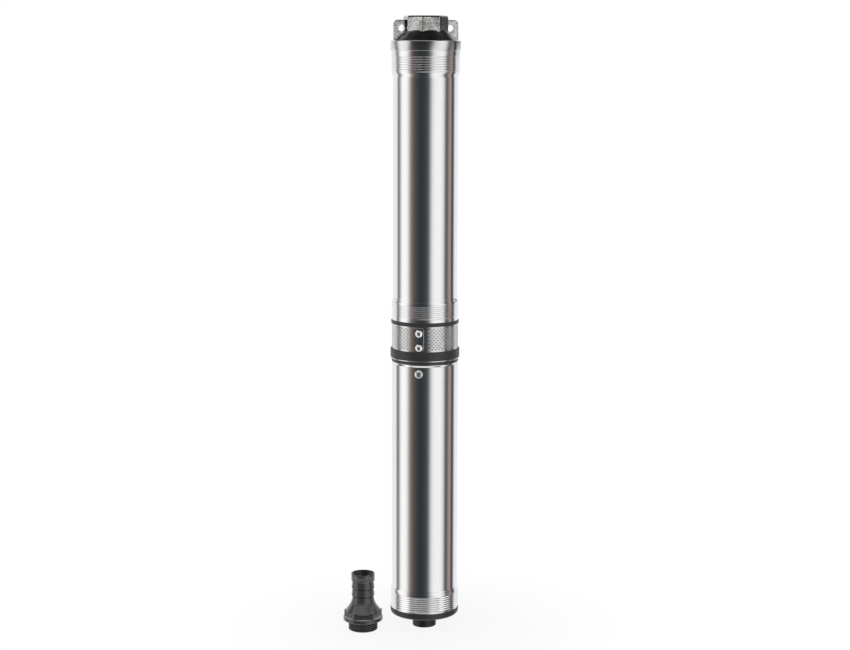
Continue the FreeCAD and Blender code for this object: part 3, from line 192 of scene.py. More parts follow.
def thread(low, high, turns, depth, width):
    """A wave that moves a wall inwards by depth. width is the groove's share of the pitch."""
    pitch = (high - low) / turns

    def wave(angle, height):
        if height < low or height > high:
            return 0
        turn = ((height - low) / pitch - angle / (2 * math.pi)) % 1
        across = min(max((turn - 0.5) / width + 0.5, 0), 1)
        swing = 0.5 - 0.5 * math.cos(2 * math.pi * across)
        fade = ease(RUN_OUT * (height - low) / pitch) * ease(RUN_OUT * (high - height) / pitch)
        return -depth * swing * fade

    return wave


def thread_rows(low, high, turns, each=20):
    """Heights that are close enough together to show the thread, each for every turn."""
    count = int(turns * each)
    return [low + (high - low) * k / count for k in range(count + 1)]


# %% [markdown]
# ## Finishes
# Every finish is a small node tree on one shader. Noise breaks the colour and the roughness a
# little, because no cast, moulded or ground surface is even, and a fine bump gives the grain. The
# grain can be squeezed along the axis into fine rings for turned steel.

# %% Helpers for shader nodes
def feed(tree, held, socket):
    """Link an input to a node's output, or set it to a plain value."""
    if isinstance(held, bpy.types.NodeSocket):
        tree.links.new(held, socket)
    else:
        socket.default_value = held


def feed_by_name(tree, node, **values):
    """Feed a node's inputs by name, with _ where the name has a space."""
    for name, held in values.items():
        feed(tree, held, node.inputs[name.replace("_", " ")])
    return node


def add_node(tree, kind, **values):
    """A new node with its inputs fed by name."""
    return feed_by_name(tree, tree.nodes.new(kind), **values)


def number(tree, operation, *values):
    """A Math node's result. Each value is a number or another node's output."""
    node = tree.nodes.new("ShaderNodeMath")
    node.operation = operation
    for held, socket in zip(values, node.inputs):
        feed(tree, held, socket)
    return node.outputs["Value"]


# %% One builder for all finishes
FINE_SHARE, BROAD_TIMES = 0.6, 12
NOISE_LOW, NOISE_HIGH = 0.3, 0.7
COAT_ROUGH, SMOOTHEST = 0.25, 0.02


def finish(
    name, colour, metal=0.0, rough=0.5, grain=400, stretch=(1, 1, 1), shade=0.15, rough_swing=0.1,
    bump=0.1, depth=0.0001, coat=0.0, soft_grain=0.2, pattern=None,
):
    """A shader with uneven colour, uneven roughness and a fine bump, all from noise."""
    material = bpy.data.materials.new(name)
    material.use_nodes = True
    tree = material.node_tree
    place = tree.nodes.new("ShaderNodeTexCoord").outputs["Object"]
    scaled = add_node(tree, "ShaderNodeMapping", Vector=place, Scale=stretch).outputs["Vector"]
    fine = add_node(tree, "ShaderNodeTexNoise", Vector=scaled, Scale=grain, Detail=3)
    broad = add_node(tree, "ShaderNodeTexNoise", Vector=place, Scale=grain / BROAD_TIMES, Detail=2)
    blotches = number(tree, "MULTIPLY", broad.outputs["Fac"], 1 - FINE_SHARE)
    signal = number(tree, "MULTIPLY_ADD", fine.outputs["Fac"], FINE_SHARE, blotches)
    if pattern:
        signal = pattern(tree, place, signal)
    paint = add_node(tree, "ShaderNodeValToRGB", Fac=signal)
    for end, way in zip(paint.color_ramp.elements, (-1, 1)):
        end.position = 0.5 + way * soft_grain
        end.color = [min(c * (1 + way * shade), 1) for c in colour] + [1]
    polish = add_node(
        tree, "ShaderNodeMapRange", Value=signal, From_Min=NOISE_LOW, From_Max=NOISE_HIGH,
        To_Min=max(rough - rough_swing, SMOOTHEST), To_Max=min(rough + rough_swing, 1),
    )
    relief = add_node(tree, "ShaderNodeBump", Height=signal, Strength=bump, Distance=depth)
    feed_by_name(
        tree, tree.nodes["Principled BSDF"], Base_Color=paint.outputs["Color"], Metallic=metal,
        Roughness=polish.outputs["Result"], Normal=relief.outputs["Normal"], Coat_Weight=coat,
        Coat_Roughness=COAT_ROUGH,
    )
    return material


# %% The finishes that can be seen
polished_steel = finish(
    "polished_steel", (0.86, 0.86, 0.87), metal=1, rough=0.1, grain=60, stretch=(1, 1, 14),
    shade=0.03, rough_swing=0.02, bump=0.02,
)
sheet_steel = finish(
    "sheet_steel", (0.7, 0.7, 0.71), metal=1, rough=0.14, grain=120, shade=0.06, rough_swing=0.04,
    bump=0.04,
)
turned_steel = finish(
    "turned_steel", (0.74, 0.74, 0.74), metal=1, rough=0.08, grain=90, stretch=(1, 1, 12),
    shade=0.05, rough_swing=0.03, bump=0.02,
)
# painted shade: the cone is the same steel as the flange, with its colour darkened so that it looks
# dark and mirrors the ears only faintly
cone_shaded_steel = finish(
    "cone_shaded_steel", (0.2, 0.2, 0.2), metal=1, rough=0.26, grain=200, shade=0.1, rough_swing=0.04,
    bump=0.04,
)
cast_steel = finish(
    "cast_steel", (0.54, 0.54, 0.53), metal=1, rough=0.1, grain=560, shade=0.6, rough_swing=0.02,
    bump=0.06, depth=0.0004, soft_grain=0.1,
)
bright_steel = finish(
    "bright_steel", (0.9, 0.9, 0.91), metal=1, rough=0.2, grain=300, shade=0.04, bump=0.03,
)
black_plastic = finish(
    "black_plastic", (0.034, 0.034, 0.035), rough=0.42, grain=700, shade=0.2, rough_swing=0.05,
    bump=0.1, depth=0.0002,
)
adapter_plastic = finish(
    "adapter_plastic", (0.044, 0.044, 0.0445), rough=0.28, grain=500, shade=0.06, rough_swing=0.02,
    bump=0.02, coat=0.9,
)
# painted shade: a near-black copy of the adapter's plastic for the bore, the lower thread and the
# barbs' grooves, where shade falls
adapter_painted_shade = finish(
    "adapter_painted_shade", (0.007, 0.007, 0.007), rough=0.4, grain=500, shade=0.06, rough_swing=0.02,
    bump=0.02,
)
edge_steel = finish(
    "edge_steel", (0.75, 0.75, 0.75), metal=1, rough=0.16, grain=300, shade=0.1, rough_swing=0.04,
    bump=0.03,
)
print("finishes for the outside:", len(bpy.data.materials))

# %% [markdown]
# ## Pump shell
# The pump's tube is one length of polished stainless steel. At both ends it is rolled out a little
# and carries a coarse thread, so its diameter swells over a few millimetres before each thread.
# The wall is swept with enough rows in the threads to show every groove.

# %% Pump shell
TUBE_AROUND, FLARE_STEPS = 192, 8


def tube(name, outer_rows, inner_rows, waves):
    """A tube from rows of (radius, height) up its outside and back down its inside."""
    outside = set(outer_rows)

    def ripple(angle, radius, height):
        if (radius, height) not in outside:
            return 0
        return sum(wave(angle, height) for wave in waves)

    return sweep(name, outer_rows + inner_rows, TUBE_AROUND, ripple)


def along(outline, height):
    """The radius of an outline of (radius, height) points at one height."""
    for (r0, z0), (r1, z1) in zip(outline, outline[1:]):
        if z0 <= height <= z1:
            return r0 + (r1 - r0) * ease((height - z0) / (z1 - z0))
    return outline[-1][0]


def wall_rows(shape, bands):
    """Rows up a wall: the shape's own heights, its flares in small steps, and the thread bands."""
    heights = {z for r, z in shape}
    for (r0, z0), (r1, z1) in zip(shape, shape[1:]):
        if r0 != r1:
            heights |= {z0 + (z1 - z0) * k / FLARE_STEPS for k in range(FLARE_STEPS + 1)}
    for band_facts in bands:
        heights |= set(thread_rows(*band_facts))
    return [(along(shape, z), z) for z in sorted(heights)]


SHELL_LOW, SHELL_TOP = 449.0, 825.6
shell_shape = [
    (46.6, SHELL_LOW), (47.0, SHELL_LOW + 0.6), (47.0, 473.9), (45.5, 482.0), (45.5, 787.8),
    (47.75, 797.2), (47.75, SHELL_TOP),
]
low_band, top_band = (453.8, 473.6, 7), (796.0, 819.4, 7)
shell_inside = [
    (46.2, SHELL_TOP), (46.2, 797.0), (44.0, 790.8), (44.0, 477.0), (45.4, 473.0),
    (45.4, SHELL_LOW),
]
shell = tube(
    "pump_shell_wall",
    wall_rows(shell_shape, [low_band, top_band]),
    shell_inside,
    [thread(*low_band, 0.6, 0.45), thread(*top_band, 0.75, 0.42)],
)
dress(shell, "pump_body", ["pump_shell"], "stainless_steel", polished_steel)

# %% [markdown]
# ## Motor tube
# The motor's tube is a little wider than the shell. Its top edge is rolled over towards the black
# bracket and shines as a bright ring. Its thread sits at the foot. The screw's hole is hidden
# under the washer, so the wall can stay whole here.

# %% Motor tube
MOTOR_LOW, MOTOR_TOP = 28.9, 389.6
motor_shape = [
    (47.9, MOTOR_LOW), (48.45, MOTOR_LOW + 0.8), (48.45, 54.3),
    (47.0, 62.3), (47.0, MOTOR_TOP - 3.4), (45.5, MOTOR_TOP - 0.1), (45.4, MOTOR_TOP),
]
foot_band = (30.0, 54.9, 8)
motor_tube = tube(
    "motor_tube",
    wall_rows(motor_shape, [foot_band]),
    [(45.2, MOTOR_TOP), (45.2, 59.3), (46.7, 54.3), (46.7, MOTOR_LOW)],
    [thread(*foot_band, 0.9, 0.9)],
)
dress(motor_tube, "pump_body", ["motor_housing"], "stainless_steel", polished_steel)

# %% [markdown]
# ## Bottom cap
# A black moulded cap closes the motor, and the whole pump stands on its round foot. It is one
# turned form with small roundings. Its plug goes up into the tube, out of sight.

# %% Bottom cap
cap_outline = rounded(
    [
        (0.01, 0), (17, 0, 1.2), (17, 20, 0.6), (46.4, 20, 1.0), (49, 22.6, 1.4), (49, 28.6, 0.6),
        (46.6, 28.9), (46.6, 46), (38, 46), (38, 30), (0.01, 30),
    ],
    steps=6,
)
cap = sweep("bottom_cap_form", cap_outline, 160)
dress(cap, "pump_body", ["bottom_cap"], "black_plastic", black_plastic)

# %% [markdown]
# ## Putting solids together
# The bracket, the head and the adapter are turned forms with flat-sided ones grown into them.
# Blender's Boolean modifier joins or cuts them exactly, and its result is frozen into the mesh, so
# the joint lines are real edges.

# %% Join and cut
def freeze(piece):
    """Turn what a piece's modifiers show into its mesh."""
    bpy.context.view_layer.update()
    shape = piece.evaluated_get(bpy.context.evaluated_depsgraph_get())
    mesh = bpy.data.meshes.new_from_object(shape)
    piece.modifiers.clear()
    piece.data = mesh
    return piece


def combine(piece, other, how):
    """UNION or DIFFERENCE of two pieces, kept in the first one."""
    tool = piece.modifiers.new(how, "BOOLEAN")
    tool.operation = how
    tool.solver = "EXACT"
    tool.object = other
    freeze(piece)
    bpy.data.objects.remove(other)
    return piece


# %% Prisms and drilled holes
LEVEL_EDGE = 1e-6


def bevel(work, edges, width, segments):
    """Bevel some edges of an open mesh by a width in millimetres."""
    bmesh.ops.bevel(
        work, geom=edges, offset=width * MM, segments=segments, affect="EDGES", profile=0.5
    )


def rise(edge):
    """How far apart in height an edge's ends are."""
    return abs(edge.verts[0].co.z - edge.verts[1].co.z)


def lean(edge):
    """How far apart in distance from the axis an edge's ends are."""
    return abs(edge.verts[0].co.xy.length - edge.verts[1].co.xy.length)


def prism(name, corners, low, high, turn=0.0, rim=0.0, upright=0.0, steps=3):
    """An upright prism over corners in millimetres. rim and upright bevel its edges."""
    count = len(corners)
    swing = Matrix.Rotation(math.radians(turn), 2)
    flat = [swing @ Vector(c) for c in corners]
    points = [(p.x, p.y, height) for height in (low, high) for p in flat]
    faces = [list(range(count))[::-1], list(range(count, 2 * count))] + band(0, count, count)
    piece = new_piece(name, points, faces)
    with open_mesh(piece) as work:
        bmesh.ops.recalc_face_normals(work, faces=work.faces)
        if rim:
            top = max(v.co.z for v in work.verts) - LEVEL_EDGE
            bevel(work, [e for e in work.edges if min(v.co.z for v in e.verts) > top], rim, steps)
        if upright:
            tall = [e for e in work.edges if rise(e) > 10 * LEVEL_EDGE and lean(e) < LEVEL_EDGE]
            bevel(work, tall, upright, 2)
    return piece


def even_polygon(sides, across_flats):
    """Corners of a regular polygon with a flat towards +X."""
    reach = across_flats / 2 / math.cos(math.pi / sides)
    return [polar(reach, 2 * math.pi * (k + 0.5) / sides) for k in range(sides)]


def drill(piece, place, direction, radius, length, around=40):
    """Cut a round hole along a direction, centred on place."""
    half = length / 2
    outline = [(0.001, -half), (radius, -half), (radius, half), (0.001, half)]
    bit = sweep("drill", outline, around)
    turn = Vector((0, 0, 1)).rotation_difference(Vector(direction)).to_matrix().to_4x4()
    bit.data.transform(Matrix.Translation(Vector(place) * MM) @ turn)
    tidy_mesh(bit)
    return combine(piece, bit, "DIFFERENCE")


# %% [markdown]
# ## Suction bracket
# The black casting between pump and motor shows as two rings: a thin one where the shell screws
# on, and a broad one with a bright bead above the motor. Four pillars join them behind the
# strainer, so water gets in from all sides. The notch at the back is where a motor lead would come
# out.

# %% Suction bracket
SCREW_TURN = -100.5
BEAD_LOW, BEAD_TOP, INSIDE_BEAD = 394.4, 395.9, 47.8
PILLAR_LOW, PILLAR_HIGH, PILLAR_OUT, PILLAR_IN = 396.5, 446, 45.6, 38.2
PILLAR_ANGLES = (-10, -5, 0, 5, 10)
NOTCH_LOW, NOTCH_HIGH, NOTCH_TURN = 400.3, 412, SCREW_TURN + 157
low_outline = [
    (20, 389.6), (47.0, 389.6, 0.5), (47.6, 392.6, 0.5), (48.0, BEAD_LOW),
    (48.6, BEAD_LOW + 0.2, 0.2), (48.6, BEAD_TOP - 0.2, 0.2), (48.1, BEAD_TOP), (49, 396.6, 0.4),
    (49, 408.3, 0.9), (46, 408.3, 0.5), (46, 398), (20, 398),
]
top_outline = [
    (36, 444), (48, 444, 0.8), (48, 449, 1.0), (45.3, 449), (45.3, 472), (43.7, 473.5),
    (43.7, 478), (18.5, 478), (18.5, 475.5),
]
bracket = sweep("suction_bracket_form", rounded(low_outline))
top_ring = sweep("top_ring", rounded(top_outline))
tidy_mesh(bracket)
tidy_mesh(top_ring)
for k in range(4):
    middle = SCREW_TURN + 90 * k
    corners = [polar(PILLAR_OUT, math.radians(middle + angle)) for angle in PILLAR_ANGLES]
    corners += [polar(PILLAR_IN, math.radians(middle - angle)) for angle in PILLAR_ANGLES]
    bracket = combine(bracket, prism("pillar", corners, PILLAR_LOW, PILLAR_HIGH), "UNION")
bracket = combine(bracket, top_ring, "UNION")
notch = prism("notch", [(40, -4), (52, -4), (52, 4), (40, 4)], NOTCH_LOW, NOTCH_HIGH, NOTCH_TURN)
bracket = combine(bracket, notch, "DIFFERENCE")
dress(bracket, "pump_body", ["suction_bracket"], "black_plastic", black_plastic, edge_steel)
pick_finishes(
    bracket,
    lambda at, normal: int(BEAD_LOW < at.z < BEAD_TOP and math.hypot(at.x, at.y) > INSIDE_BEAD),
)

# %% [markdown]
# ## Strainer
# The strainer is a strip of thin sheet with hundreds of small holes, wrapped round the pillars.
# Its ends overlap at the two screws, where the sheet is plain, and the outer end has rounded
# corners. An image of holes would stay flat when seen from the side, so the holes are real: the
# sheet is laid out as bricks with one twelve-sided hole in each, rolled up and given its
# thickness.

# %% Strainer
SHEET_R, SHEET_T = 46.5, 0.8
CAGE_LOW, CAGE_HIGH = 408.3, 444.0
HOLE_SIDES, HOLE_R, RIM_R, RIM_LIFT = 12, 1.19, 1.29, 0.14
HOLE_COLUMNS, HOLE_ROWS = 54, 12
PLAIN_FROM, PLAIN_TO, PLAIN_STEPS = -118.5, -86.5, 14
LAP_LIFT, CLIMB = 0.8, 36
EDGE_LOW, EDGE_HIGH = 2.4, 2.1
# round a brick from the middle of its right side, in shares of its width and height
BRICK = [
    (0.5, 0), (0.5, 0.5), (0.25, 0.5), (0, 0.5), (-0.25, 0.5), (-0.5, 0.5), (-0.5, 0),
    (-0.5, -0.5), (-0.25, -0.5), (0, -0.5), (0.25, -0.5), (0.5, -0.5),
]


def roll(across, up, radius):
    """A place on the rolled sheet from its angle in degrees and its height."""
    return (*polar(radius, math.radians(across)), up)


def perforated_sheet():
    """Points and faces of the sheet's outer face, as bricks with a hole in each."""
    grid, faces, points = {}, [], []

    def point(across, up, lift=0.0):
        key = (round(across, 4), round(up, 4), lift)
        if key not in grid:
            grid[key] = len(points)
            climb = LAP_LIFT * ease((across - PLAIN_FROM - 360 + CLIMB) / CLIMB)
            points.append(roll(across, up, SHEET_R + lift + climb))
        return grid[key]

    def ring(centre, middle, radius, lift):
        around = [polar(radius, 2 * math.pi * k / HOLE_SIDES) for k in range(HOLE_SIDES)]
        return [point(centre + math.degrees(x / SHEET_R), middle + y, lift) for x, y in around]

    def panel(left, right, low, high):
        corners = ((left, low), (right, low), (right, high), (left, high))
        faces.append([point(across, up) for across, up in corners])

    span = 360 - (PLAIN_TO - PLAIN_FROM)
    width = span / HOLE_COLUMNS
    height = (CAGE_HIGH - CAGE_LOW - EDGE_LOW - EDGE_HIGH) / HOLE_ROWS
    for row in range(HOLE_ROWS):
        middle = CAGE_LOW + EDGE_LOW + (row + 0.5) * height
        shifted = row % 2
        for column in range(HOLE_COLUMNS - shifted):
            centre = PLAIN_TO + (column + 0.5 + 0.5 * shifted) * width
            brick = [point(centre + x * width, middle + y * height) for x, y in BRICK]
            rim = ring(centre, middle, RIM_R, 0.0)
            hole = ring(centre, middle, HOLE_R, RIM_LIFT)
            for k in range(HOLE_SIDES):
                after = (k + 1) % HOLE_SIDES
                faces.append([brick[k], brick[after], rim[after], rim[k]])
                faces.append([rim[k], rim[after], hole[after], hole[k]])
        if shifted:
            # half a brick without a hole closes each end of the row
            for start in (PLAIN_TO, PLAIN_TO + span - width / 2):
                steps = (start, start + width / 4, start + width / 2)
                low, high = middle - height / 2, middle + height / 2
                ends = [point(across, low) for across in steps] + [point(steps[2], middle)]
                ends += [point(across, high) for across in steps[::-1]] + [point(start, middle)]
                faces.append(ends)
    quarter = width / 4
    for low, high in ((CAGE_LOW, CAGE_LOW + EDGE_LOW), (CAGE_HIGH - EDGE_HIGH, CAGE_HIGH)):
        for k in range(4 * HOLE_COLUMNS):
            panel(PLAIN_TO + quarter * k, PLAIN_TO + quarter * (k + 1), low, high)
    levels = [CAGE_LOW, CAGE_LOW + EDGE_LOW]
    levels += [CAGE_LOW + EDGE_LOW + height * k / 2 for k in range(1, 2 * HOLE_ROWS)]
    levels += [CAGE_HIGH - EDGE_HIGH, CAGE_HIGH]
    plain = [
        PLAIN_FROM + (PLAIN_TO - PLAIN_FROM) * k / PLAIN_STEPS for k in range(PLAIN_STEPS + 1)
    ]
    for left, right in zip(plain, plain[1:]):
        for low, high in zip(levels, levels[1:]):
            panel(left, right, low, high)
    return points, faces


def thicken(piece, thickness):
    """Give a sheet its thickness, inwards."""
    tool = piece.modifiers.new("thickness", "SOLIDIFY")
    tool.thickness = thickness * MM
    tool.offset = -1
    return freeze(piece)


# %% Roll the strainer
sheet = new_piece("strainer_sheet", *perforated_sheet())
tidy_mesh(sheet)
sheet = thicken(sheet, SHEET_T)
dress(sheet, "pump_body", ["strainer"], "stainless_steel", sheet_steel)
print("holes in the strainer:", HOLE_COLUMNS * HOLE_ROWS - HOLE_ROWS // 2)

# %% The overlapping end of the strainer
TAB_FROM, TAB_TO, TAB_LOW, TAB_HIGH = PLAIN_FROM, -92.0, CAGE_LOW + 0.2, CAGE_HIGH - 1.2
TAB_ROUND, TAB_T, TAB_EDGE = 4.0, 0.6, 0.28


def overlap(columns=30, rows=24):
    """A curved plate on top of the inner end, with two rounded corners."""
    points, faces = [], []
    for c in range(columns + 1):
        angle = TAB_FROM + (TAB_TO - TAB_FROM) * c / columns
        left = min(math.radians(TAB_TO - angle) * SHEET_R, TAB_ROUND)
        inset = TAB_ROUND - math.sqrt(max(TAB_ROUND**2 - (TAB_ROUND - left) ** 2, 0))
        for r in range(rows + 1):
            up = TAB_LOW + inset + (TAB_HIGH - TAB_LOW - 2 * inset) * r / rows
            points.append(roll(angle, up, SHEET_R + LAP_LIFT))
    for c in range(columns):
        for r in range(rows):
            first = c * (rows + 1) + r
            faces.append([first, first + rows + 1, first + rows + 2, first + 1])
    return points, faces


tab = thicken(new_piece("strainer_overlap", *overlap()), TAB_T)
edge = tab.modifiers.new("soft_edge", "BEVEL")
edge.width = TAB_EDGE * MM
edge.segments = 3
edge.angle_limit = math.radians(50)
dress(tab, "pump_body", ["strainer"], "stainless_steel", polished_steel)

# %% [markdown]
# ## Screws
# Three bright pan-head screws face the front: two through the strainer's overlap, and one with a
# washer in the motor tube. A head is a turned dome with a cross cut out of it, because the dark
# cross in the bright dome is what the eye reads as a screw.

# %% Cross-recess screws
HEAD_EDGE, DOME_STEPS = 0.5, 10
CROSS_WIDE, CROSS_FOOT, CROSS_TAPER = 0.13, 0.25, 0.55


def face_out(piece, seat_r, level):
    """Turn an upright piece so that it points out of the pump at the screws' side."""
    out = Vector((*polar(1, math.radians(SCREW_TURN)), 0))
    turn = Vector((0, 0, 1)).rotation_difference(out).to_matrix().to_4x4()
    piece.data.transform(Matrix.Translation((out * seat_r + Vector((0, 0, level))) * MM) @ turn)
    return piece


def pan_head(name, seat_r, level, head_d, head_t, shank_d, shank_len, cross):
    """A pan-head screw that points at the pump's axis, seated at one radius and height."""
    rim, dome = head_d / 2, head_t - HEAD_EDGE
    dome_r = (rim**2 + dome**2) / (2 * dome)
    outline = [(0.001, -shank_len), (shank_d / 2, -shank_len), (shank_d / 2, 0), (rim, 0)]
    for k in range(DOME_STEPS + 1):
        slant = math.asin(rim / dome_r) * (1 - k / DOME_STEPS)
        up = head_t - dome_r * (1 - math.cos(slant))
        outline.append((max(dome_r * math.sin(slant), 0.001), up))
    head = sweep(name, outline, 48)
    tidy_mesh(head)
    half, wide = cross / 2, cross * CROSS_WIDE
    corners = [(-half, -wide), (half, -wide), (half, wide), (-half, wide)]
    for turn in (28, 118):
        slot = prism("cross", corners, head_t * CROSS_FOOT, head_t + 1, turn)
        for point in slot.data.vertices:
            if point.co.z < head_t / 2 * MM:
                point.co.xy *= CROSS_TAPER
        head = combine(head, slot, "DIFFERENCE")
    return face_out(head, seat_r, level)


def gather(name, pieces):
    """Several solids as one object."""
    work = bmesh.new()
    for piece in pieces:
        work.from_mesh(piece.data)
        bpy.data.objects.remove(piece)
    mesh = bpy.data.meshes.new(name)
    work.to_mesh(mesh)
    work.free()
    return add_object(name, mesh)


SCREW_LOW, SCREW_GAP = CAGE_LOW + 5.9, 20.5
MOTOR_SCREW = MOTOR_TOP - 12.3
pair = [
    pan_head("strainer_screw", SHEET_R + 0.77, level, 10.8, 3.0, 4, 8.6, 3.4)
    for level in (SCREW_LOW, SCREW_LOW + SCREW_GAP)
]
pair = gather("strainer_screw_pair", pair)
dress(pair, "pump_body", ["strainer_screws"], "plated_steel", bright_steel)
big = pan_head("motor_screw_form", 47.8, MOTOR_SCREW, 10.6, 1.9, 5, 10, 7.6)
dress(big, "pump_body", ["motor_screw"], "plated_steel", bright_steel)
washer_outline = rounded([(2.6, 0, 0.15), (6, 0, 0.2), (6, 0.8, 0.25), (2.6, 0.8, 0.15)])
washer = face_out(sweep("motor_screw_washer_form", washer_outline, 64), 47.0, MOTOR_SCREW)
dress(washer, "pump_body", ["motor_screw_washer"], "plated_steel", bright_steel)

# %% [markdown]
# ## Discharge head
# The head is a casting that was turned only where it has to fit. The flange and the cone are
# smooth, while the octagon for the spanner and the two ears for the safety rope keep the rough
# skin of the mould. Joining a real prism with a real cone gives the shallow arcs under the
# octagon's flats by itself.

# %% Discharge head
HEAD_TURN = 15.0
FLANGE_LOW, FLANGE_TOP, HEAD_TOP = 825.6, 839.5, 873.4
CONE_TOP = FLANGE_TOP + 14
BORE_R, OCTAGON_FLATS = 21.2, 58
EAR_IN, EAR_OUT, EAR_FOOT, EAR_TIP = 26, 46.3, FLANGE_TOP - 1, FLANGE_TOP + 28.2
EAR_HALF, EAR_ROUND, EAR_EDGE = 2.5, 6, 0.9
EYE_OUT, EYE_UP, EYE_R = 35, FLANGE_TOP + 16.8, 4.65
head_outline = [
    (38, 785), (43.7, 785, 0.5), (43.7, 801), (46.1, 803), (46.1, FLANGE_LOW),
    (49, FLANGE_LOW, 0.7), (49, FLANGE_TOP, 1.0), (43.5, FLANGE_TOP, 0.6), (29.2, CONE_TOP, 0.6),
    (24, CONE_TOP + 4), (BORE_R, CONE_TOP + 4), (BORE_R, 848), (23, 848), (23, 805), (24.5, 805),
    (24.5, 799),
]
head = sweep("discharge_head_form", rounded(head_outline), 192)
tidy_mesh(head)
octagon = prism(
    "octagon", even_polygon(8, OCTAGON_FLATS), FLANGE_TOP + 2, HEAD_TOP, HEAD_TURN,
    rim=2.0, upright=0.5, steps=1,
)
octagon = drill(octagon, (0, 0, 850), (0, 0, 1), BORE_R, 80, 96)
head = combine(head, octagon, "UNION")
arc = [polar(EAR_ROUND, math.radians(a)) for a in range(9, 91, 9)]
ear_corners = [(EAR_IN, EAR_FOOT), (EAR_OUT, EAR_FOOT), (EAR_OUT, EAR_TIP - EAR_ROUND)]
ear_corners += [(EAR_OUT - EAR_ROUND + x, EAR_TIP - EAR_ROUND + y) for x, y in arc]
ear_corners += [(EAR_IN, EAR_TIP)]
for side in (0, 180):
    swing = Matrix.Rotation(math.radians(HEAD_TURN + side), 4, "Z")
    ear = prism("ear", ear_corners, -EAR_HALF, EAR_HALF)
    with open_mesh(ear) as work:
        bevel(work, [e for e in work.edges if rise(e) < LEVEL_EDGE], EAR_EDGE, 1)
    ear.data.transform(swing @ Matrix.Rotation(math.radians(90), 4, "X"))
    head = combine(head, ear, "UNION")
    eye = swing @ Vector((EYE_OUT, 0, EYE_UP))
    head = drill(head, eye, swing @ Vector((0, 1, 0)), EYE_R, 12)
tidy_mesh(head)
print("head:", len(head.data.polygons), "faces")

# %% The thread inside the outlet
OUTLET_LOW, OUTLET_R, OUTLET_BACK = 851.4, 19.5, 21.6
inner_thread = thread(OUTLET_LOW, HEAD_TOP - 0.6, 9, -1.2, 1.0)


def outlet_ripple(angle, radius, height):
    """The thread on the rows of the outlet's inner face, and nothing behind them."""
    return inner_thread(angle, height) if radius == OUTLET_R else 0


outlet_outline = [(OUTLET_BACK, OUTLET_LOW)]
outlet_outline += [(OUTLET_R, z) for z in thread_rows(OUTLET_LOW, HEAD_TOP - 1.6, 9, 10)]
outlet_outline += [(21.0, HEAD_TOP - 0.05), (OUTLET_BACK, HEAD_TOP - 0.6)]
outlet = sweep("outlet_thread", outlet_outline, 128, outlet_ripple)
tidy_mesh(outlet)

# %% Cast skin, smooth cone and turned flange
# CONE is the finish with painted shade, a darkened copy of the flange's steel
TURNED, CAST, CONE = 0, 1, 2


def head_skin(at, normal):
    """The number of the finish at a place of the head."""
    radius = math.hypot(at.x, at.y)
    if radius < 43.6 and abs(normal.z) > 0.5 and at.z < CONE_TOP + 0.5:
        return CONE if at.z > FLANGE_TOP - 0.1 else TURNED
    return CAST if at.z > FLANGE_TOP + 0.1 and radius > BORE_R + 0.3 else TURNED


dress(head, "pump_body", ["discharge_head"], "cast_steel", turned_steel, cast_steel, cone_shaded_steel)
dress(outlet, "pump_body", ["discharge_head"], "cast_steel", turned_steel)
pick_finishes(head, head_skin)
for face in head.data.polygons:
    face.use_smooth = face.material_index != CAST
print("faces with the rough skin:", sum(not face.use_smooth for face in head.data.polygons))

# %% [markdown]
# ## Hose adapter
# The adapter is one black moulding. From below: a coarse male thread that fits the pump's outlet,
# a round flange, a hexagon, a soft shoulder that narrows to the neck, two barbs that grip a hose,
# and a short fine thread under the open top, which widens towards its mouth.

# %% Hose adapter
ADAPTER, ADAPTER_BORE = (-88.2, -21.0), 14
BARBS, BARB_NECK = (50.4, 61.2), 14.6
LOW_THREAD_R, TOP_THREAD_R, LOW_THREAD_TOP = 20.95, 16.9, 14.4
MOUTH_LOW, MOUTH_R = 75, 15.7
low_thread = thread(1.4, 14.2, 4.5, 1.6, 0.9)
top_thread = thread(72.6, 79.6, 3, 1.0, 0.8)


def adapter_ripple(angle, radius, height):
    """Both threads outside, and nothing in the bore."""
    return low_thread(angle, height) + top_thread(angle, height) if radius >= ADAPTER_BORE else 0


def soft_line(corners, steps=5):
    """A smooth line through corners of (radius, height), in equal steps between each two."""
    line = []
    count = len(corners)
    for k in range(count - 1):
        a, b = Vector(corners[max(k - 1, 0)]), Vector(corners[k])
        c, d = Vector(corners[k + 1]), Vector(corners[min(k + 2, count - 1)])
        for s in range(steps):
            t = s / steps
            place = b + (c - a) * t / 2 + (2 * a - 5 * b + 4 * c - d) * t**2 / 2
            place += (3 * b - a - 3 * c + d) * t**3 / 2
            line.append((place.x, place.y))
    return line + [tuple(corners[-1])]


outline = [(19.6, 0.0), (20.4, 0.5), (LOW_THREAD_R, 1.4)]
outline += [(LOW_THREAD_R, z) for z in thread_rows(1.8, 13.8, 4.5, 12)]
flange = [(20.0, 14.6), (28.5, 14.6, 0.9), (28.5, 19.7, 1.6), (22.0, 19.7), (22.0, 27.0)]
outline += rounded(flange)[1:] + [(25.6, 27.0), (25.0, 28.6)]
outline += soft_line([(19.2, 36.8), (17.6, 39.8), (16.3, 43.6), (15.6, 47.0), (15.3, 49.2)])
for low in BARBS:
    outline += [(15.2, low - 1.1), (BARB_NECK, low - 0.9), (BARB_NECK, low), (16.5, low + 0.4)]
    outline += [(16.4, low + 2), (15.9, low + 6), (15.3, low + 9.4)]
outline += [(15.2, 72.0), (TOP_THREAD_R, 72.6)]
outline += [(TOP_THREAD_R, z) for z in thread_rows(72.8, 79.4, 3, 12)]
mouth = [(16.2, 79.6), (17.0, 80.0, 0.3), (17.0, 83.0, 0.9), (15.9, 83.0, 0.4), (13.6, MOUTH_LOW)]
outline += rounded(mouth, 6)[1:]
outline += [(13.5, 60), (13.5, 30), (13.5, 0.4), (ADAPTER_BORE, 0.0)]
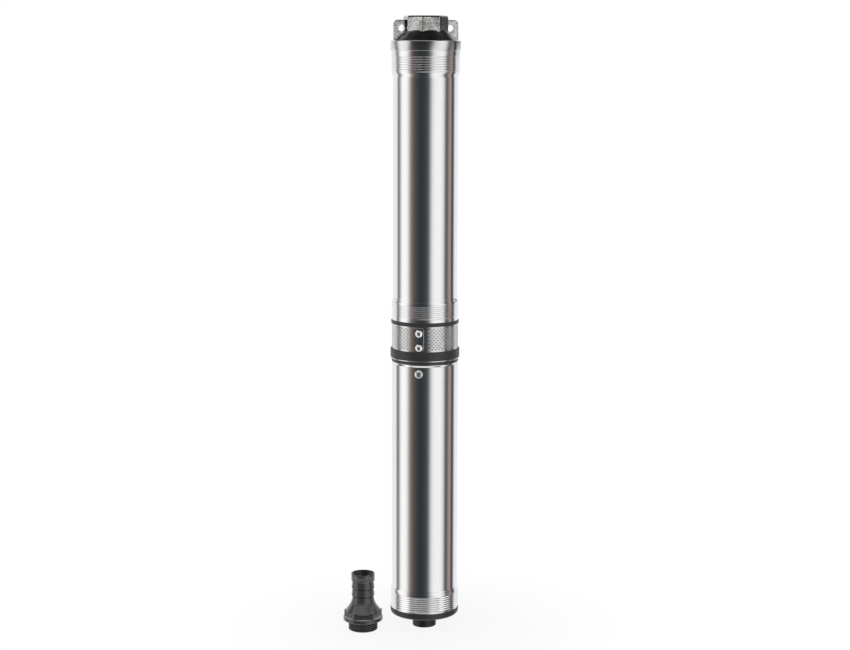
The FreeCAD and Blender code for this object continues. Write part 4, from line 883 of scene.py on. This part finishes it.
adapter = sweep("hose_adapter_form", outline, 144, adapter_ripple)
tidy_mesh(adapter)
hexagon = prism("hexagon", even_polygon(6, 47), 19.2, 29.4, 34, rim=0.5, upright=0.5)
hexagon = drill(hexagon, (0, 0, 25), (0, 0, 1), 18, 40, 64)
adapter = combine(adapter, hexagon, "UNION")
adapter.data.transform(Matrix.Translation((ADAPTER[0] * MM, ADAPTER[1] * MM, 0)))
dress(adapter, "adapter", ["hose_adapter"], "adapter_plastic", adapter_plastic, adapter_painted_shade)


def adapter_shade_mask(at, normal):
    """1 in the bore and in the grooves, where hardly any light gets in and shade is painted, and 0
    elsewhere.
    """
    reach = math.hypot(at.x - ADAPTER[0], at.y - ADAPTER[1])
    in_bore = reach < ADAPTER_BORE - 0.2 or (at.z > MOUTH_LOW and reach < MOUTH_R)
    in_groove = at.z < LOW_THREAD_TOP or any(low - 1.2 < at.z < low + 0.3 for low in BARBS)
    return int(in_bore or in_groove)


# the bore, the lower thread and the barbs' grooves get the painted shade
pick_finishes(adapter, adapter_shade_mask)
adapter.visible_glossy = False

# %% [markdown]
# ## Finishes for the pieces inside
# The hidden pieces keep the model's own meshes, because their shapes are right. They still get
# real finishes, since the pump can be opened up: laminated sheets for the motor's core, wound
# copper for the end turns, and plastics, rubber, ceramic and brass where they belong.

# %% Laminations and windings
STRIPE_SHARE, STRIPE_BEND = 0.6, 0.6


def stripes(scale):
    """A pattern of fine level bands, mixed into a finish's noise."""

    def pattern(tree, place, signal):
        wave = add_node(
            tree, "ShaderNodeTexWave", Vector=place, Scale=scale, Distortion=STRIPE_BEND
        )
        wave.bands_direction = "Z"
        bands = wave.outputs["Fac"]
        mix = add_node(tree, "ShaderNodeMix", Factor=STRIPE_SHARE, A=signal, B=bands)
        return mix.outputs["Result"]

    return pattern


inside = {
    "stainless_steel": dict(
        colour=(0.7, 0.7, 0.71), metal=1, rough=0.25, grain=120, stretch=(1, 1, 8)
    ),
    "cast_steel": dict(
        colour=(0.5, 0.5, 0.49), metal=1, rough=0.45, grain=900, bump=0.5, depth=0.0004
    ),
    "black_plastic": dict(colour=(0.034, 0.034, 0.036), rough=0.42, grain=700),
    "adapter_plastic": dict(colour=(0.03, 0.03, 0.031), rough=0.35, grain=500),
    "plated_steel": dict(colour=(0.8, 0.79, 0.74), metal=1, rough=0.25),
    "shaft_steel": dict(
        colour=(0.66, 0.66, 0.67), metal=1, rough=0.2, grain=200, stretch=(1, 1, 10)
    ),
    "bearing_steel": dict(
        colour=(0.78, 0.78, 0.79), metal=1, rough=0.14, grain=200, stretch=(1, 1, 6)
    ),
    "laminated_steel": dict(
        colour=(0.3, 0.3, 0.31), metal=1, rough=0.45, shade=0.4, bump=0.5, depth=0.0003,
        pattern=stripes(320),
    ),
    "enamelled_copper": dict(
        colour=(0.5, 0.17, 0.06), metal=0.6, rough=0.35, shade=0.4, bump=0.8, depth=0.0006,
        coat=0.4, pattern=stripes(200),
    ),
    "aluminium": dict(colour=(0.75, 0.76, 0.77), metal=1, rough=0.35, grain=500),
    "grey_iron": dict(
        colour=(0.16, 0.16, 0.165), metal=0.7, rough=0.6, grain=900, shade=0.3, bump=0.5
    ),
    "rubber": dict(colour=(0.02, 0.02, 0.02), rough=0.75, grain=900, shade=0.2),
    "bowl_plastic": dict(colour=(0.62, 0.61, 0.56), rough=0.42, grain=500, shade=0.08),
    "impeller_plastic": dict(colour=(0.78, 0.77, 0.72), rough=0.38, grain=500, shade=0.06),
    "ceramic_face": dict(colour=(0.85, 0.83, 0.78), rough=0.18, grain=600, shade=0.04, coat=0.3),
    "brass": dict(colour=(0.75, 0.55, 0.24), metal=1, rough=0.25, grain=300),
}
inside_finish = {slot: finish("inside_" + slot, **facts) for slot, facts in inside.items()}

# %% [markdown]
# ## Valve spring
# A spring in the discharge head closes the valve, and it gets shorter when the valve lifts. Here it
# is a coil of round wire at one length.

# %% Valve spring
SPRING_LOW, SPRING_HIGH, SPRING_TOP_SEAT = 811.3, 841.7, 842.0
SPRING_D, WIRE_D, TURNS, FLAT_TURNS, FLAT_PITCH = 13.6, 1.2, 5, 0.9, 1.3


def spring_height(turn):
    """Height of the wire's middle after so many turns: flat, steep, then flat again."""
    whole = SPRING_HIGH - SPRING_LOW - WIRE_D
    steep = (whole - 2 * FLAT_TURNS * FLAT_PITCH) / (TURNS - 2 * FLAT_TURNS)
    climb = FLAT_PITCH * min(turn, FLAT_TURNS)
    climb += steep * min(max(turn - FLAT_TURNS, 0), TURNS - 2 * FLAT_TURNS)
    climb += FLAT_PITCH * max(turn - TURNS + FLAT_TURNS, 0)
    return SPRING_LOW + WIRE_D / 2 + climb


def coil_spring(name, steps=48, around=10):
    """A closed tube of round wire along the helix."""
    count = TURNS * steps
    coil_r, wire_r = (SPRING_D - WIRE_D) / 2, WIRE_D / 2
    line = [
        Vector((*polar(coil_r, 2 * math.pi * k / steps), spring_height(k / steps)))
        for k in range(count + 1)
    ]
    points = []
    for k, middle in enumerate(line):
        along_wire = (line[min(k + 1, count)] - line[max(k - 1, 0)]).normalized()
        outwards = Vector((middle.x, middle.y, 0)).normalized()
        upwards = along_wire.cross(outwards).normalized()
        for s in range(around):
            across, up = polar(wire_r, 2 * math.pi * s / around)
            points.append(middle + outwards * across + upwards * up)
    faces = [list(range(around)), [count * around + s for s in range(around)][::-1]]
    for k in range(count):
        faces += band(k * around, (k + 1) * around, around)
    return new_piece(name, points, faces)


spring = coil_spring("valve_spring_coil")
dress(spring, "pump_body", ["valve_spring"], "plated_steel", inside_finish["plated_steel"])
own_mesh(spring)

# %% The model's own pieces
kept_nodes = [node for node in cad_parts.values() if not node.hide_render]
for node in kept_nodes:
    slot = node.data.materials[0].name.split(".")[0] if node.data.materials else "grey_iron"
    for held in node.material_slots:
        held.material = inside_finish.get(slot, inside_finish["grey_iron"])
print("nodes that keep the model's mesh:", len(kept_nodes))

# %% [markdown]
# ## Studio
# Polished steel has no colour of its own: what it shows is the room. The room here is the world
# shader, which gives mirror-like surfaces tall soft panels of light with dark gaps between them,
# all the way down, and a dark ceiling. To everything else the world is an even soft white. The
# camera sees plain white behind the object.

# %% What the room shows to steel
PANELS = [
    # degrees round from the front, towards the right, and the room's colour or grey there
    (-180, (0.92, 0.92, 0.93)), (-122, (0.93, 0.93, 0.94)), (-114, (0.3, 0.3, 0.31)),
    (-107, (0.2, 0.2, 0.21)), (-100, 0.5), (-92, 1.02), (-78, 1.12), (-66, (0.96, 0.95, 0.94)),
    (-58, (0.52, 0.47, 0.44)), (-52, (0.27, 0.23, 0.21)), (-45, (0.15, 0.125, 0.115)),
    (-36, (0.085, 0.075, 0.072)), (-28, (0.055, 0.055, 0.056)), (-18, (0.031, 0.036, 0.039)),
    (-6, (0.037, 0.043, 0.046)), (4, (0.058, 0.064, 0.066)), (11, (0.11, 0.12, 0.12)),
    (18, (0.42, 0.43, 0.43)), (25, 0.84), (34, 1.0), (52, (1.03, 1.03, 1.02)),
    (62, (0.92, 0.92, 0.91)), (70, (0.62, 0.62, 0.63)), (76, (0.15, 0.155, 0.17)),
    (84, (0.1, 0.11, 0.125)), (93, (0.36, 0.29, 0.25)), (103, (0.38, 0.3, 0.25)),
    (108, (0.06, 0.065, 0.08)), (116, (0.08, 0.085, 0.1)), (124, (0.6, 0.6, 0.61)),
    (131, (0.93, 0.93, 0.94)), (180, (0.92, 0.92, 0.93)),
]
UPPER_PANELS = [
    # the same just above the horizon, where the head looks, in plain greys
    (-180, 0.95), (-156, 0.95), (-133, 0.68), (-118, 0.15), (-107, 0.57), (-96, 1.15),
    (-78, 1.12), (-70, 1.0), (-62, 0.92), (-54, 0.5), (-47, 0.08), (-40, 0.026), (0, 0.024),
    (14, 0.045), (21, 0.087), (25, 0.2), (30, 0.49), (35, 0.68), (42, 0.88), (56, 1.1),
    (72, 0.92), (80, 0.4), (89, 0.125), (99, 0.2), (110, 0.07), (123, 0.06), (139, 0.14),
    (155, 0.4), (168, 0.75), (180, 0.9),
]
UPPER_FROM, UPPER_TO, UPPER_RISE, UPPER_FADE = -0.004, 0.045, 0.008, 0.02
# heights as the sine of the angle above the horizon: the panels end a little lower in front of the
# pump than behind it, raised panels hang in front and at both sides, and the floor below is pale
FRONT_TOP, BACK_TOP, TOP_FADE = 0.42, 0.48, 0.07
RAISED_FROM, RAISED_TO, RAISED_TURN, RAISED_LIGHT = 0.42, 0.92, -8, 0.85
RAISED_WIDTH, RAISED_FADE, RAISED_RISE = 34, 50, 0.06
SIDE_FROM, SIDE_TO, SIDE_LIGHT, SIDE_RISE = 0.56, 0.86, 1.5, 0.08
PANEL_FALL = 0.04
BELOW_FROM, BELOW_TO, BELOW_LIGHT = -0.76, -0.86, 0.85
CEILING = 0.02

# %% The room as colour ramps
world = bpy.data.worlds.new("studio")
bpy.context.scene.world = world
world.use_nodes = True
sky = world.node_tree
sky.nodes.clear()
place = sky.nodes.new("ShaderNodeTexCoord")
split = add_node(sky, "ShaderNodeSeparateXYZ", Vector=place.outputs["Generated"]).outputs
away = number(sky, "MULTIPLY", split["Y"], -1)
turn = number(sky, "ARCTAN2", split["X"], away)
around = number(sky, "MULTIPLY_ADD", turn, 1 / (2 * math.pi), 0.5)
height = number(sky, "MULTIPLY_ADD", split["Z"], 0.5, 0.5)


def ramp_of(where, stops):
    """A colour ramp over a value, from (position, colour or grey) stops."""
    node = add_node(sky, "ShaderNodeValToRGB", Fac=where)
    ramp = node.color_ramp
    ramp.elements.remove(ramp.elements[-1])
    for k, (position, shown) in enumerate(stops):
        stop = ramp.elements.new(position) if k else ramp.elements[0]
        stop.position = position
        stop.color = (*(shown if isinstance(shown, tuple) else (shown, shown, shown)), 1)
    return node.outputs["Color"]


def by_turn(stops):
    """A ramp over degrees round from the front."""
    return ramp_of(around, [(0.5 + degrees / 360, shown) for degrees, shown in stops])


def by_height(stops):
    """A ramp over the sine of the angle above the horizon."""
    return ramp_of(height, [(0.5 + up / 2, shown) for up, shown in stops])


def blend(share, first, second):
    """The first colour where share is 0, the second where it is 1."""
    mix = sky.nodes.new("ShaderNodeMix")
    mix.data_type = "RGBA"
    return feed_by_name(sky, mix, Factor=share, A=first, B=second).outputs["Result"]


above = by_height(
    [(UPPER_FROM, 0), (UPPER_FROM + UPPER_RISE, 1), (UPPER_TO, 1), (UPPER_TO + UPPER_FADE, 0)]
)
walls = blend(above, by_turn(PANELS), by_turn(UPPER_PANELS))
low_top = by_turn([(-125, BACK_TOP), (-95, FRONT_TOP), (95, FRONT_TOP), (125, BACK_TOP)])
over = number(sky, "SUBTRACT", low_top, split["Z"])
low_share = number(sky, "MULTIPLY_ADD", over, 1 / TOP_FADE, 0.5)
left, right = RAISED_TURN - RAISED_WIDTH, RAISED_TURN + RAISED_WIDTH
raised_width = by_turn([(left - RAISED_FADE, 0), (left, 1), (right, 1), (right + RAISED_FADE, 0)])
raised_height = by_height(
    [
        (RAISED_FROM, 0), (RAISED_FROM + RAISED_RISE, 1), (RAISED_TO - PANEL_FALL, 1),
        (RAISED_TO, 0),
    ]
)
raised = number(sky, "MULTIPLY", raised_width, raised_height)
raised = number(sky, "MULTIPLY_ADD", raised, RAISED_LIGHT, CEILING)
side_width = by_turn(
    [(-120, 0), (-106, 1), (-80, 1), (-64, 0), (64, 0), (80, 1), (106, 1), (120, 0)]
)
side_height = by_height(
    [(SIDE_FROM, 0), (SIDE_FROM + SIDE_RISE, 1), (SIDE_TO - PANEL_FALL, 1), (SIDE_TO, 0)]
)
beside = number(sky, "MULTIPLY", side_width, side_height)
raised = number(sky, "MULTIPLY_ADD", beside, SIDE_LIGHT, raised)
below = by_height([(BELOW_TO, 1), (BELOW_FROM, 0)])
room = blend(below, blend(low_share, raised, walls), (BELOW_LIGHT, BELOW_LIGHT, BELOW_LIGHT, 1))
print("room panels:", len(PANELS))

# %% [markdown]
# The world now splits by what asks for it: glossy surfaces see the room above, matt surfaces get
# an even soft light, and the camera sees plain white behind the pump.

# %% One world for three kinds of ray
SOFT_STRENGTH = 0.6


def mix_shaders(tree, share, first, second):
    """The first shader where share is 0, the second where it is 1."""
    mix = tree.nodes.new("ShaderNodeMixShader")
    for held, socket in zip((share, first, second), mix.inputs):
        feed(tree, held, socket)
    return mix.outputs["Shader"]


mirrored, soft, white = (
    add_node(sky, "ShaderNodeBackground", Color=colour, Strength=strength).outputs["Background"]
    for colour, strength in ((room, 1), ((1, 1, 1, 1), SOFT_STRENGTH), ((1, 1, 1, 1), 1))
)
path = sky.nodes.new("ShaderNodeLightPath").outputs
lit = mix_shaders(sky, path["Is Glossy Ray"], soft, mirrored)
seen = mix_shaders(sky, path["Is Camera Ray"], lit, white)
add_node(sky, "ShaderNodeOutputWorld", Surface=seen)

# %% Lamps
def lamp(name, place, power, size):
    """A soft square lamp that points at the middle of the pump."""
    light = bpy.data.lights.new(name, "AREA")
    light.energy = power
    light.size = size
    holder = add_object(name, light)
    holder.location = place
    aim = Vector((0, 0, 0.4)) - Vector(place)
    holder.rotation_euler = aim.to_track_quat("-Z", "Y").to_euler()
    holder.visible_glossy = False


lamp("key_lamp", (-1.3, -1.6, 2.2), 14, 1.2)
lamp("fill_lamp", (1.6, -1.2, 1.6), 7, 1.4)
lamp("top_lamp", (0.2, 0.5, 2.6), 8, 1.6)

# %% [markdown]
# ## Floor
# The floor is a pale disc that only has to carry the soft shadows at the feet. Towards its rim it
# turns into the same white that the camera sees behind it, so no edge shows.

# %% Floor
FLOOR_R, FLOOR_Z, FLOOR_GREY = 360, -0.05, 0.6
FADE_FROM, FADE_TO, LEAST_WHITE = 0.06, 0.32, 0.9
rings, around = 12, 96
floor_points = [(0, 0, FLOOR_Z)]
for ring in range(1, rings + 1):
    for k in range(around):
        reach = FLOOR_R * ring / rings
        floor_points.append((*polar(reach, 2 * math.pi * k / around), FLOOR_Z))
floor_faces = [[0, 1 + k, 1 + (k + 1) % around] for k in range(around)]
for ring in range(rings - 1):
    floor_faces += band(1 + (ring + 1) * around, 1 + ring * around, around)
floor = new_piece("floor", floor_points, floor_faces)
pale = bpy.data.materials.new("pale_floor")
pale.use_nodes = True
tree = pale.node_tree
tree.nodes.clear()
place = tree.nodes.new("ShaderNodeTexCoord")
reach = add_node(tree, "ShaderNodeVectorMath", Vector=place.outputs["Object"])
reach.operation = "LENGTH"
fade = add_node(
    tree, "ShaderNodeMapRange", Value=reach.outputs["Value"], From_Min=FADE_FROM,
    From_Max=FADE_TO, To_Min=LEAST_WHITE,
)
fade.interpolation_type = "SMOOTHSTEP"
path = tree.nodes.new("ShaderNodeLightPath").outputs
amount = number(tree, "MULTIPLY", fade.outputs["Result"], path["Is Camera Ray"])
matt = add_node(tree, "ShaderNodeBsdfDiffuse", Color=(*[FLOOR_GREY] * 3, 1)).outputs["BSDF"]
glow = tree.nodes.new("ShaderNodeEmission").outputs["Emission"]
add_node(tree, "ShaderNodeOutputMaterial", Surface=mix_shaders(tree, amount, matt, glow))
floor.data.materials.append(pale)
floor.visible_glossy = False

# %% [markdown]
# ## Camera
# The camera stands in front of the pump at the height of its head and looks slightly down, with a
# moderately long lens, which keeps the tall tube almost parallel.

# %% Camera
LENS, SENSOR = 78.35, 36
STAND, DOWN, LEAN = (0, -2.597, 0.833), 8.6, 0.15
camera = add_object("camera", bpy.data.cameras.new("camera"))
camera.data.lens = LENS
camera.data.sensor_width = SENSOR
camera.data.clip_start = 0.05
camera.data.clip_end = 50
camera.location = STAND
camera.rotation_euler = (math.radians(90 - DOWN), 0, 0)
camera.rotation_euler.rotate_axis("Z", math.radians(LEAN))
bpy.context.scene.camera = camera
bpy.context.scene.view_settings.view_transform = "Standard"
